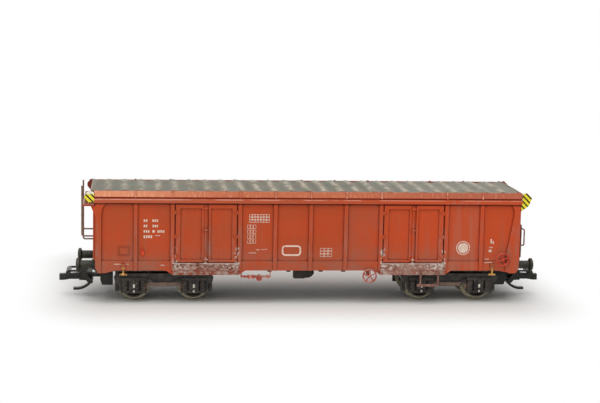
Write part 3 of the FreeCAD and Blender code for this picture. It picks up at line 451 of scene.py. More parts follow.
@dataclass(frozen=True)
class BodyPaint:
    """Sprayed styrene: matt brick red, a brown wash and painted shade in every corner, painted light on the
    eaves, and pale dust from below.

    Places are in millimetres from the part's origin, as in every finish and sub-assembly below.
    """

    clean: str = "#BF4A22"
    faded: str = "#B44C28"
    wash_and_shade: str = "#4A170B"
    line: str = "#5A1409"
    dust: str = "#9C6450"
    lit_band_left: str = "#E3966F"
    lit_band_mid: str = "#C3704E"
    lit_band_right: str = "#B4664C"
    board: str = "#6E4436"
    silver: str = "#D2C6BC"
    painted_light_right: str = "#CE4E24"
    rubbed: str = "#A27468"
    haze: str = "#B4705A"
    veil: str = "#A0604C"
    streak: str = "#F0B99A"
    fold: str = "#B2452A"
    lip: str = "#BC6A50"
    lip_glint: str = "#E9B09A"
    holder: str = "#5E2216"
    flask: str = "#DA4326"
    board_foot: str = "#8A4634"
    board_worn: str = "#A07E70"
    board_pale: str = "#C09A8C"
    strap: str = "#E2B49C"
    strap_half: float = 0.14
    lip_top: float = 26.75
    lip_h: float = 1.05
    lip_y: float = 12.3
    post_y: float = 11.85
    board_y: float = 12.05
    board_top: float = 11.0
    holder_x: tuple[float, float] = (-48.05, -45.25)
    flask_x: tuple[float, float] = (-42.65, -41.25)
    door_x: float = 26.22
    door_reach: float = 8.35
    dusty_bay: tuple[float, float] = (9.4, 17.3)
    hazy_bay: tuple[float, float] = (35.2, 43.0)
    seams: tuple[float, ...] = (8.91, 17.82, 34.62, 43.75)

    def make(self) -> bpy.types.Material:
        """Build the shell's paint.

        Returns:
            The finished material.
        """
        # Sprayed acrylic on styrene: a dry, chalky red that hardly shines, so the wash and dust carry it.
        s = Surface("Sprayed styrene, brick red, weathered", self.clean, 0.60, 0.0, 0.22)
        x, y, z = s.axes
        # The spray itself in large soft patches, and painted light that brightens the red toward the right
        # end.
        s.coat(s.patches((10.0, 10.0, 8.0), 0.35, 0.7, 4.0), self.faded)
        s.coat(s.slope(x, 2, 34, 0.0, 0.75), self.painted_light_right)
        # Rain runs, fainter toward the eaves, and splashes over the lowest panels.
        low = s.slope(z, 12, 26, 0.40, 0.10)
        runs = s.times(s.patches((1.3, 1.3, 26.0), 0.50, 0.75), low)
        s.coat(runs, self.dust)
        s.coat(self.splash(s), self.dust)
        # Posts chafed pale on their outer face, most above the sill.
        post = s.slope(s.add(Step.ABSOLUTE, y), self.post_y, self.post_y + 0.15)
        reach = s.times(s.slope(z, 12.3, 12.6), s.slope(z, 14, 25, 1.0, 0.0))
        chafed = s.times(post, reach, s.patches((0.6, 0.6, 5.0), 0.42, 0.66, 31.0), 0.55)
        s.coat(chafed, self.rubbed)
        # One hazy panel right of the doors, and one dusty bay left of them.
        haze = s.times(s.band(x, *self.hazy_bay, 0.5), s.patches((1.2, 1.2, 12.0), 0.35, 0.65, 27.0))
        s.coat(s.times(haze, 0.45), self.haze)
        veil = s.times(s.band(x, *self.dusty_bay, 0.6), s.band(z, 11.0, 25.0, 1.0),
                       s.patches((3.0, 3.0, 6.0), 0.3, 0.6, 11.0))
        s.coat(s.times(veil, 0.25), self.veil)
        self.eaves(s)
        self.fittings(s)
        # Brown wash and painted shade in wide corners, then a fine dark line of painted shade and grime in
        # the tightest ones.
        s.coat(s.times(s.hollow(0.9), 0.80), self.wash_and_shade)
        s.coat(s.times(s.hollow(0.35, 0.75), 0.85), self.line)
        self.boards(s)
        self.straps(s)
        s.grain((0.35, 0.35, 0.35), 2.0, 7.0, 0.03, 0.35)
        s.gloss(s.add(Step.FADE, s.mottle((4.0, 4.0, 6.0), 3.0, 5.0), 0.3, 0.7, 0.50, 0.70))
        return s.finish()

    def eaves(self, s: Surface) -> None:
        """Paint light on the sloping eave band and the lip, most at the left end, and paint shade on the wall
        below.

        Args:
            s: Surface under construction.
        """
        x, y, z = s.axes
        # The band: painted light, strongest at the left, streaked down its slope, with a dark fold of painted
        # shade above the lip.
        band_light = s.add(Step.COAT, s.slope(x, -48, -18), self.lit_band_left, self.lit_band_mid)
        band_light = s.add(Step.COAT, s.slope(x, 5, 40), band_light, self.lit_band_right)
        left = s.slope(x, -45, 0.0, 0.75, 0.25)
        streaks = s.times(s.patches((0.6, 2.0, 2.0), 0.50, 0.70, 16.0, 4.0), left)
        band_light = s.add(Step.COAT, streaks, band_light, self.streak)
        band_light = s.add(Step.COAT, s.band(z, self.lip_top, self.lip_top + 0.42, 0.12), band_light, self.fold)
        # Painted light: the band's lit tone goes only on faces that slope up toward the lamps.
        s.coat(s.add(Step.FADE, s.facing[2], 0.12, 0.32, 0.0, 0.88), band_light)
        # The lip: a painted highlight, paler toward the left, a broken painted glint on its upper corner, and
        # a painted shadow below it.
        aside = s.add(Step.ABSOLUTE, y)
        edge = s.slope(aside, self.lip_y, self.lip_y + 0.1)
        wall = s.slope(aside, self.lip_y, self.lip_y + 0.1, 1.0, 0.0)
        foot = self.lip_top - self.lip_h
        lip = s.times(s.band(z, foot, self.lip_top, 0.05), edge)
        lip_highlight = s.times(lip, s.slope(x, -50, 40, 0.40, 0.05))
        s.coat(lip_highlight, self.lip)
        corner = s.band(z, self.lip_top - 0.26, self.lip_top - 0.10, 0.07)
        glint = s.times(lip, corner, s.patches((5.0, 5.0, 5.0), 0.36, 0.56, 23.0),
                        s.slope(x, -50, 50, 0.70, 0.40))
        s.coat(glint, self.lip_glint)
        shade = s.times(s.band(z, foot - 0.40, foot, 0.15), wall)
        s.coat(s.times(shade, 0.75), self.line)

    def fittings(self, s: Surface) -> None:
        """Paint the card holder dark and the small flask bright, on the near side.

        Args:
            s: Surface under construction.
        """
        x, y, z = s.axes
        proud = s.slope(y, -11.90, -11.80, 1.0, 0.0)
        holder = s.times(proud, s.band(x, *self.holder_x, 0.05), s.band(z, 12.40, 14.80, 0.05))
        s.coat(s.times(holder, 0.75), self.holder)
        flask = s.times(proud, s.band(x, *self.flask_x, 0.05), s.band(z, 12.40, 14.40, 0.05))
        s.coat(s.times(flask, 0.85), self.flask)

    def splash(self, s: Surface) -> Socket:
        """Share of dust thrown up over the lowest panels and the sill.

        Args:
            s: Surface under construction.

        Returns:
            The share of dust.
        """
        low = s.slope(s.axes[2], 9.0, 17.0, 0.80, 0.0)
        return s.times(low, s.patches((4.5, 4.5, 3.0), 0.20, 0.75, 9.0, 4.0))

    def boards(self, s: Surface) -> None:
        """Paint the trodden boards below the doors, brown with bright rubbed flecks.

        Args:
            s: Surface under construction.
        """
        x, y, z = s.axes
        # How far a spot is from the middle of its doorway.
        across = s.add(Step.ABSOLUTE, s.add(Step.SUBTRACT, s.add(Step.ABSOLUTE, x), self.door_x * MM))
        inside = s.slope(across, self.door_reach - 0.2, self.door_reach + 0.2, 1.0, 0.0)
        proud = s.slope(s.add(Step.ABSOLUTE, y), self.board_y, self.board_y + 0.15)
        below = s.slope(z, self.board_top - 0.25, self.board_top, 1.0, 0.0)
        board = s.times(inside, proud, below)
        ground = s.add(Step.COAT, s.slope(z, 9.0, 9.3), self.board_foot, self.board)
        ground = s.add(Step.COAT, s.patches((1.6, 1.6, 1.0), 0.42, 0.62, 3.0), ground, self.board_worn)
        ground = s.add(Step.COAT, s.slope(x, -10, 10, 0.0, 0.25), ground, self.board_pale)
        s.coat(s.times(board, 0.92), ground)
        # Flecks of bare plastic, thickest at the board's ends, and a rubbed upper edge.
        ends = s.slope(across, 1.5, 6.5, 0.40, 1.0)
        high = s.slope(z, 8.8, 9.4, 0.40, 1.0)
        right = s.slope(x, -10, 10, 0.80, 1.0)
        flecks = s.times(s.patches((0.85, 0.85, 0.60), 0.50, 0.58, 2.0, 5.0), high, right)
        s.coat(s.times(board, flecks, ends), self.silver)
        edge = s.times(board, s.band(z, 10.45, 10.75, 0.08), s.patches((1.4, 1.4, 1.4), 0.30, 0.50, 21.0))
        s.coat(s.times(edge, 0.7), self.silver)
        # Above the board the door's outer edges and the foot of its middle gap are rubbed too.
        gap = s.times(s.slope(across, 0.25, 0.55, 1.0, 0.0), s.slope(z, 11.8, 12.6, 1.0, 0.0))
        worn = s.add(Step.LARGER, s.slope(across, 6.9, 7.5), gap)
        rubbed = s.times(inside, s.band(z, 10.9, 13.5, 1.5), worn,
                         s.patches((0.5, 0.5, 0.8), 0.50, 0.64, 6.0, 4.0))
        s.coat(rubbed, self.silver)

    def straps(self, s: Surface) -> None:
        """Rub the seam straps on the eave band pale.

        Args:
            s: Surface under construction.
        """
        x, _, z = s.axes
        share = None
        for seam in (0.0,) + self.seams:
            for sign in (1.0, -1.0) if seam else (1.0,):
                place = sign * seam
                strap = s.band(x, place - self.strap_half, place + self.strap_half, 0.05)
                one = s.times(strap, 0.75 if place > 0 else 0.3)
                share = one if share is None else s.add(Step.LARGER, share, one)
        above = s.slope(z, self.lip_top + 0.15, self.lip_top + 0.45)
        share = s.times(share, above, s.patches((0.8, 0.8, 0.8), 0.35, 0.55, 1.0))
        s.coat(share, self.strap)


@dataclass(frozen=True)
class CoverPaint:
    """Sprayed styrene sheeting: dull grey-green in the sags, chalky where it lies on a hoop."""

    sag: str = "#66604F"
    field: str = "#857D6C"
    chalk: str = "#BDB29D"
    green: str = "#667565"
    warm: str = "#94705E"
    damp: str = "#55564A"
    shaded: str = "#4F4F42"
    lighter_tone: str = "#AAA798"
    bays: int = 26

    def make(self) -> bpy.types.Material:
        """Build the cover's finish.

        Returns:
            The finished material.
        """
        # Moulded sheeting under dusty matt paint: no weave shows, only worn hoops and damp-looking sags.
        s = Surface("Sprayed styrene, tarpaulin grey, dusty", self.sag, 0.55, 0.0, 0.25)
        x, y, _ = s.axes
        low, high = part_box("roof_cover")
        pitch = (high[0] - low[0]) / self.bays
        # Hoops stand one bay apart; the lines over them wander a little, as sheeting does.
        wander = s.times(s.add(Step.SUBTRACT, s.mottle((7.0, 9.0, 7.0), 2.0), 0.5), 0.7 * MM)
        along = s.add(Step.SUBTRACT, s.add(Step.ADD, x, wander), low[0])
        near = s.add(Step.ZIGZAG, along, pitch * 0.5)
        hoop = s.slope(near, 0.0, 1.25, 1.0, 0.0)
        hollow = s.slope(near, 0.9, 1.9)
        turned = s.add(Step.FADE, s.facing[0], -0.20, 0.20, 1.0, 0.0)
        painted_shade_side = s.times(turned, s.slope(x, -30, 20, 0.35, 1.0))
        # Blotches, damp sags, painted shade on the side of each sag that faces the left end, stronger toward
        # the right, and a mossy cast here and there.
        blotch = s.mottle((4.0, 8.0, 5.0), 4.0, 3.0)
        s.coat(s.add(Step.FADE, blotch, 0.36, 0.64), self.field)
        damp = s.times(hollow, s.patches((5.0, 7.0, 5.0), 0.38, 0.58, 18.0), 0.55)
        s.coat(damp, self.damp)
        s.coat(s.times(painted_shade_side, 0.45), self.shaded)
        mossy = s.times(s.patches((6.0, 9.0, 8.0), 0.48, 0.66, 8.0), 0.40)
        s.coat(mossy, self.green)
        # Chalk where the sheet lies on a hoop, paler toward the right end, and dust along both edges.
        right = s.slope(x, -45, -5, 0.70, 1.0)
        worn = s.times(hoop, s.patches((2.6, 6.0, 2.6), 0.34, 0.60, 40.0), right)
        s.coat(worn, self.chalk)
        s.coat(s.slope(x, 0.0, 50, 0.0, 0.30), self.lighter_tone)
        rim = s.times(s.slope(s.add(Step.ABSOLUTE, y), 9.5, 11.1, 0.0, 0.6),
                      s.patches((3.0, 3.0, 3.0), 0.3, 0.6, 14.0))
        s.coat(rim, self.warm)
        s.grain((0.5, 2.0, 0.5), 3.0, 5.0, 0.05, 0.45)
        s.gloss(s.add(Step.FADE, blotch, 0.3, 0.7, 0.45, 0.65))
        return s.finish()


@dataclass(frozen=True)
class DustyMoulding:
    """Moulded styrene or wire that dust has settled on, paler in the open, with painted shade darkening its
    corners.
    """

    name: str
    base: str
    dust: str
    amount: float
    roughness: float = 0.55
    deep: str = "#0C0A08"
    reach: float = 1.0

    def make(self) -> bpy.types.Material:
        """Build the moulding's finish.

        Returns:
            The finished material.
        """
        # Each moulding is told apart by its colours; all of them have the same settled dust and painted shade
        # in the corners.
        s = Surface(self.name, self.base, self.roughness, 0.0, 0.3)
        grime = s.patches((1.1, 1.1, 1.1), 0.38, 0.66, 0.0, 4.0)
        s.coat(s.times(grime, self.amount), self.dust)
        upward = s.add(Step.FADE, s.facing[2], 0.4, 0.9)
        s.coat(s.times(upward, self.amount * 0.6), self.dust)
        # Painted shade: corners darkened toward the deep colour.
        s.coat(s.times(s.hollow(self.reach), 0.85), self.deep)
        s.grain((0.3, 0.3, 0.3), 2.0, 3.0, 0.03, 0.4)
        return s.finish()


# A hem dipped in grey: chalky like the sheet, with the shell's red, darkened, as painted shade in its
# corners.
HEM = DustyMoulding("Sprayed styrene, hem, dusty grey", "#7A6E60", "#A89C8A", 0.5, 0.5, "#3A2018")
# Red oxide moulding: matt, pink where dust lies on it, with deep brown painted shade round its small webs.
RED_OXIDE = DustyMoulding("Moulded styrene, red oxide", "#A8483A", "#D09A8C", 0.75, 0.5, "#5A2018", 0.4)
# Signal red moulding: brighter and smoother than the wall behind it.
SIGNAL_RED = DustyMoulding("Moulded styrene, signal red", "#C23A22", "#D8684C", 0.5, 0.4, "#5A140A", 0.4)
# Painted steel wire: a thin satin line, browner than the wall.
RAIL_WIRE = DustyMoulding("Drawn wire, painted, brown", "#76574A", "#A88C7C", 0.50, 0.42)
# The same wire with red dust rubbed into it.
HANDLE_WIRE = DustyMoulding("Drawn wire, painted, red dust", "#7C4A40", "#B08A7E", 0.5, 0.45)
# Door step moulding: dulled by feet to a greyish pink.
DOOR_STEP = DustyMoulding("Moulded styrene, dusty step", "#74463C", "#B08A80", 0.5, 0.5, "#40201A", 0.5)
# Studs worn through their paint: small pale glints in a brown board.
STUD = DustyMoulding("Rubbed steel studs", "#8C7C72", "#D8D0C8", 0.8, 0.35, "#3A2A24", 0.5)
# Strap heads share the wall's red, with painted shade at the foot so that each one reads as a dot.
STRAP_HEAD = DustyMoulding("Sprayed styrene, strap heads", "#8A3424", "#C08468", 0.4, 0.5, "#300E08", 0.5)
# Printed red: flat and even, with nothing settled on it but a little dust.
RED_INK = DustyMoulding("Pad-printed ink, red", "#C2452E", "#D07058", 0.3, 0.6)
# Chassis moulding: warm black, matt with road dust.
CHASSIS = DustyMoulding("Moulded styrene, chassis black", "#1C1C17", "#3C372E", 0.4)
# Buffer moulding: black with a satin, greasy look that catches a soft light.
BUFFER = DustyMoulding("Moulded styrene, buffer, greased", "#25261F", "#575343", 0.45, 0.42)
# Spring wire: painted shade between its turns, and dusty on top of each.
SPRING_WIRE = DustyMoulding("Drawn wire, coil spring, dusty", "#26211D", "#6E6459", 0.6, 0.4, "#0A0807", 0.5)
# Bolt heads on the axle boxes: rubbed pale on their crowns.
BOX_BOLT = DustyMoulding("Moulded bolt heads, rubbed", "#3A342C", "#A89C8A", 0.6, 0.35)
# Bolt heads in the buffer's base: black, barely lighter than the plate.
BASE_BOLT = DustyMoulding("Moulded bolt heads, black", "#2A2A24", "#6A6758", 0.5, 0.4)
# Acetal: slippery, so smoother and a little shinier than the styrene beside it.
ACETAL = DustyMoulding("Moulded acetal, coupler black", "#1E1F1A", "#3E3B33", 0.4, 0.38)


@dataclass(frozen=True)
class BogieFinish:
    """Moulded styrene bogie: sooty, browner on its dusty beam, with painted shade in its corners and a
    painted highlight down every axle box.
    """

    pivot: float
    half_base: float
    base: str = "#1C1916"
    soot: str = "#46403A"
    dust: str = "#82695A"
    rubbed: str = "#DEDACC"
    deep: str = "#070605"

    def make(self) -> bpy.types.Material:
        """Build one bogie's finish.

        Returns:
            The finished material.
        """
        # Unpainted black styrene goes satin where it is handled and brown where brake dust sticks to it.
        s = Surface("Moulded styrene, bogie black, brake dust", self.base, 0.42, 0.0, 0.4)
        x, y, z = s.axes
        # Soot in patches, brown dust on the beam between the axles and on all that faces up.
        sooty = s.times(s.patches((1.8, 1.8, 1.8), 0.38, 0.66, 2.0), 0.75)
        s.coat(sooty, self.soot)
        run = s.add(Step.ABSOLUTE, s.add(Step.SUBTRACT, x, self.pivot * MM))
        beam = s.times(s.slope(run, 4.2, 5.2, 1.0, 0.0), s.band(z, 3.5, 5.0, 0.3))
        dusty = s.times(beam, s.patches((1.5, 1.5, 1.5), 0.25, 0.55, 12.0), 0.75)
        s.coat(dusty, self.dust)
        s.coat(s.times(s.add(Step.FADE, s.facing[2], 0.4, 0.9), 0.45), self.dust)
        # Painted shade: corners darkened nearly black.
        s.coat(s.times(s.hollow(1.0), 0.9), self.deep)
        # Painted highlight: a near white streak down the middle of each axle box's outer face, with a fainter
        # one below it.
        from_axle = s.add(Step.ABSOLUTE, s.add(Step.SUBTRACT, run, self.half_base * MM))
        axle_box_highlight = s.slope(from_axle, 0.12, 0.30, 1.0, 0.0)
        height = s.add(Step.LARGER, s.band(z, 3.95, 4.70, 0.12), s.times(s.band(z, 2.75, 3.15, 0.12), 0.7))
        aside, outward = s.add(Step.ABSOLUTE, y), s.add(Step.ABSOLUTE, s.facing[1])
        outer = s.times(s.slope(aside, 9.3, 9.5), s.add(Step.FADE, outward, 0.3, 0.6))
        s.coat(s.times(axle_box_highlight, height, outer), self.rubbed)
        s.grain((0.3, 0.3, 0.3), 2.0, 3.0, 0.02, 0.35)
        return s.finish()


@dataclass(frozen=True)
class WheelFinish:
    """Turned steel, browned: dark dished face, a rim worn pale at the tread's edge, and a tread that is bare
    metal with a painted highlight.
    """

    axle_x: float
    axle_z: float
    face: str = "#2B241B"
    dusty: str = "#4A3F30"
    ring: str = "#A29C88"
    ring_dull: str = "#7A7258"
    tread: str = "#D9D3AC"

    def make(self) -> bpy.types.Material:
        """Build one wheelset's finish.

        Returns:
            The finished material.
        """
        # Chemically browned steel: nearly black, with a silvery olive line where the rail rubs the rim.
        s = Surface("Turned steel, browned, wheel", self.face, 0.40, 0.2)
        x, _, z = s.axes
        run = s.add(Step.SUBTRACT, x, self.axle_x)
        rise = s.add(Step.SUBTRACT, z, self.axle_z)
        radius = s.add(Step.ROOT, s.add(Step.ADD, s.times(run, run), s.times(rise, rise)))
        s.coat(s.patches((1.2, 1.2, 1.2), 0.35, 0.7), self.dusty)
        ring = s.add(Step.COAT, s.patches((0.8, 0.8, 0.8), 0.4, 0.7, 6.0), self.ring, self.ring_dull)
        s.coat(s.slope(radius, 3.35, 3.5), ring)
        # Painted highlight: the tread, bare where the rail runs, is painted near white on its rolling face.
        edgeways = s.add(Step.FADE, s.add(Step.ABSOLUTE, s.facing[1]), 0.3, 0.6, 1.0, 0.0)
        tread = s.times(edgeways, s.slope(radius, 3.1, 3.25))
        s.coat(s.times(tread, 0.85), self.tread)
        return s.finish()


@dataclass(frozen=True)
class StripedGuard:
    """Printed plate: yellow with black slanted stripes outside, red primer inside."""

    side: Side
    yellow: str = "#F7E83A"
    black: str = "#2C2208"
    back: str = "#7A2E22"
    faded: str = "#EEDC34"
    lighter_tone: str = "#F6F4E6"
    pitch: float = 1.0

    def make(self) -> bpy.types.Material:
        """Build the plate's finish.

        Returns:
            The finished material.
        """
        # Screen-printed enamel gone chalky: strong yellow and black edges with hardly any shine.
        name = "Printed plate, hazard stripes, %s" % self.side.name.lower()
        s = Surface(name, self.yellow, 0.45, 0.0, 0.25)
        x, _, z = s.axes
        along = s.times(s.add(Step.ADD, x, z), math.sqrt(0.5))
        stripe = s.add(Step.ZIGZAG, along, self.pitch * 0.5 * MM)
        cut = s.slope(stripe, 0.17, 0.22, 1.0, 0.0)
        s.coat(s.patches((0.8, 0.8, 0.8), 0.3, 0.7), self.faded)
        s.coat(cut, self.black)
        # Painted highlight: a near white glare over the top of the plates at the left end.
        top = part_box("guard_left_near")[1][2] / MM
        left = s.slope(x, -40, -39, 1.0, 0.0)
        lighter_tone = s.times(left, s.slope(z, top - 0.85, top - 0.45), 0.9)
        s.coat(lighter_tone, self.lighter_tone)
        front = s.add(Step.ABOVE, s.times(s.facing[1], float(self.side.value)), 0.5)
        s.colour = s.add(Step.COAT, front, self.back, s.colour)
        return s.finish()


@dataclass(frozen=True)
class PrintInk:
    """Pad-printed ink: matt off-white, thin enough for the red to grin through where it wears."""

    colour: str = "#E6CDBB"
    worn: str = "#C98A70"

    def make(self) -> bpy.types.Material:
        """Build the ink.

        Returns:
            The finished material.
        """
        # Ink from a soft pad: a flat film with crisp edges, thinned where a hand has rubbed it.
        s = Surface("Pad-printed ink, off-white", self.colour, 0.6)
        rubbed = s.patches((0.5, 0.5, 0.5), 0.50, 0.68, 0.0, 4.0)
        s.coat(s.times(rubbed, 0.75), self.worn)
        return s.finish()


# ------------------------------------------------------------------ sub-assemblies

@dataclass
class Cover:
    """Sheeted cover over its hoops, which replaces the plain CAD cover, with a hem at each end."""

    bays: int = 26
    cuts: int = 10
    across: int = 26
    ridge: float = 0.48
    crown: float = 0.16
    drop: float = 1.04
    skirt: float = 0.50
    clear: float = 0.05
    hem: float = 0.42
    hem_inset: float = 0.02
    hem_lift: float = 0.06
    hem_h: float = 0.5
    hem_share: float = 0.985

    def __post_init__(self) -> None:
        """Read the CAD cover's box once."""
        self.low, self.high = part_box("roof_cover")

    def build(self) -> None:
        """Model the cover and its end hems."""
        sheet = self.sheet()
        Bench.dress(sheet, CoverPaint(bays=self.bays).make(), "van", "sheet_grey", 60.0)
        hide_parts("roof_cover")
        hem = HEM.make()
        for end in End:
            Bench.dress(self.hem_bar(end), hem, "van", "sheet_grey", 40.0)

    def height(self, x: float, y: float) -> float:
        """Height of the sheet above a point, in metres.

        Args:
            x: Place along the van in metres.
            y: Place across the van in metres.

        Returns:
            Height of the sheet.
        """
        # Each bay sags from hoop to hoop, its own depth, slacker toward the right, with faint cross folds.
        low, high = self.low, self.high
        swell = max(0.0, 1.0 - (y / high[1]) ** 2)
        share = (x - low[0]) / (high[0] - low[0])
        bay = share * self.bays
        middle = 2.0 * abs(bay % 1.0 - 0.5)
        number = math.floor(bay)
        slack = (0.70 + 0.30 * share) * (0.82 + 0.18 * math.sin(number * 2.4 + 1.0))
        fold = 0.07 * share * math.sin(y / MM * 0.60 + number * 1.7) * (1.0 - middle)
        sag = self.ridge * (1.0 - slack * (1.0 - middle ** 1.5))
        return high[2] + (self.crown * swell + sag + fold - self.drop - 0.07) * MM

    def sheet(self) -> bpy.types.Object:
        """Model the sheet: a grid laid over the hoops, its edges drawn down as a skirt and closed below.

        Returns:
            The sheet.
        """
        low, high = self.low, self.high
        Bench.clear()
        bpy.ops.mesh.primitive_grid_add(x_subdivisions=self.bays * self.cuts, y_subdivisions=self.across,
                                        size=1.0, location=((low[0] + high[0]) / 2, 0, 0))
        sheet = bpy.context.active_object
        sheet.name = "cover_sheet"
        sheet.scale = (high[0] - low[0], high[1] - low[1], 1.0)
        Bench.settle(sheet)
        for point in sheet.data.vertices:
            point.co.z = self.height(point.co.x, point.co.y)
        Bench.pick(sheet, Pick.EDGES, lambda edge: edge.is_boundary)
        bpy.ops.mesh.extrude_region_move(TRANSFORM_OT_translate={"value": (0, 0, -self.skirt * MM)})
        foot = (0.0, 0.0, low[2] + self.clear * MM)
        bpy.ops.transform.resize(value=(1.0, 1.0, 0.0), center_override=foot)
        bpy.ops.mesh.edge_face_add()
        bpy.ops.mesh.select_all(action="SELECT")
        bpy.ops.mesh.normals_make_consistent(inside=False)
        return Bench.settle(sheet)

    def hem_bar(self, end: End) -> bpy.types.Object:
        """Model the bar that clamps the sheet's end: the last hoop's curve given width and depth.

        Args:
            end: Which end of the van.

        Returns:
            The hem bar.
        """
        low, high = self.low, self.high
        x = low[0] + self.hem_inset * MM if end is End.LEFT else high[0] - (self.hem + self.hem_inset) * MM
        Bench.clear()
        bpy.ops.mesh.primitive_grid_add(x_subdivisions=2, y_subdivisions=self.across, size=1.0,
                                        location=(x + self.hem * MM / 2, 0, 0))
        bar = bpy.context.active_object
        bar.name = "cover_hem_%s" % end.name.lower()
        bar.scale = (self.hem * MM, (high[1] - low[1]) * self.hem_share, 1.0)
        Bench.settle(bar)
        on_hoop = low[0] + 0.001 * MM
        for point in bar.data.vertices:
            point.co.z = self.height(on_hoop, point.co.y) + self.hem_lift * MM
        return Bench.thicken(bar, self.hem_h)


@dataclass
class Body:
    """Shell, end platform and everything fitted to them."""

    panel_y: float = 11.70
    sill_y: float = 12.40
    door_x: float = 26.22
    seams: tuple[float, ...] = (0.0, 8.91, 17.82, 34.62, 43.75)
    studs_each: int = 8
    stud_reach: float = 7.4
    stud_z: float = 8.25
    small_red: tuple[str, ...] = ("changeover_near", "changeover_far", "brake_wheel_near", "brake_wheel_far")

    def dress(self) -> None:
        """Paint the body and its fittings."""
        paint(BodyPaint().make(), "body_shell")
        paint(RED_OXIDE.make(), *self.small_red)
        paint(SIGNAL_RED.make(), "side_wheel_near", "side_wheel_far")
        paint(self.platform(), "end_platform")
        paint(RAIL_WIRE.make(), "platform_rail_near", "platform_rail_mid")
        paint(HANDLE_WIRE.make(), "end_handle_short", "end_handle_long")
        paint(DOOR_STEP.make(), "step_near", "step_far")
        hooks = ["rope_hook_%s_%s" % (end, side) for end in ("left", "right") for side in ("near", "far")]
        paint(self.hook(), *hooks)
        for side in Side:
            plates = ["guard_%s_%s" % (end, side.name.lower()) for end in ("left", "right")]
            paint(StripedGuard(side).make(), *plates)
        LOG.info("body dressed")

    def platform(self) -> bpy.types.Material:
        """Finish of the end platform.

        Returns:
            Red moulding with a pale worn walking surface.
        """
        # Styrene walked bare: sandy where it faces up, still red on its edges.
        s = Surface("Moulded styrene, end platform", "#A03A22", 0.6)
        tread = s.add(Step.COAT, s.patches((1.0, 1.0, 1.0), 0.3, 0.7), "#A98C72", "#CDB69C")
        s.coat(s.add(Step.ABOVE, s.facing[2], 0.5), tread)
        return s.finish()

    def hook(self) -> bpy.types.Material:
        """Finish of the rope hooks.

        Returns:
            Ochre paint with a rusty root.
        """
        # Brush-painted brass: a satin ochre that wears brown in patches.
        s = Surface("Painted brass, ochre hook", "#9C6A2E", 0.4)
        s.coat(s.patches((0.6, 0.6, 0.6), 0.40, 0.62), "#E0AE5C")
        s.coat(s.slope(s.axes[2], 9.0, 9.6), "#A04A22")
        return s.finish()

    def build(self) -> None:
        """Model the small fastenings that the moulding carries."""
        stud, strap_head = STUD.make(), STRAP_HEAD.make()
        for side in Side:
            Bench.dress(self.studs(side), stud, "van", "step_pink")
            Bench.dress(self.strap_heads(side), strap_head, "van", "body_red")

    def studs(self, side: Side) -> bpy.types.Object:
        """Model the coach bolts along both trodden boards of one side.

        Args:
            side: Long side of the van.

        Returns:
            The bolts, joined.
        """
        turn = (math.radians(90.0 * -side.value), 0.0, 0.0)
        head = Bench.bolt(0.20, 0.16, turn)
        y = side.value * (self.sill_y + 0.08)
        places = []
        for door in (-self.door_x, self.door_x):
            for number in range(self.studs_each):
                offset = -self.stud_reach + number * 2 * self.stud_reach / (self.studs_each - 1)
                places.append((door + offset, y, self.stud_z))
        return Bench.copies(head, places, "sill_bolts_%s" % side.name.lower())

    def strap_heads(self, side: Side) -> bpy.types.Object:
        """Model the rivets that hold the seam straps at the top of the eave band.

        Args:
            side: Long side of the van.

        Returns:
            The rivets, joined.
        """
        head = Bench.bolt(0.24, 0.16, (0.0, 0.0, 0.0), 10)
        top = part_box("body_shell")[1][2] / MM
        y = side.value * (self.panel_y - 0.25)
        places = []
        for seam in self.seams:
            for x in {seam, -seam}:
                places.append((x, y, top - 0.03))
        return Bench.copies(head, places, "strap_rivets_%s" % side.name.lower())


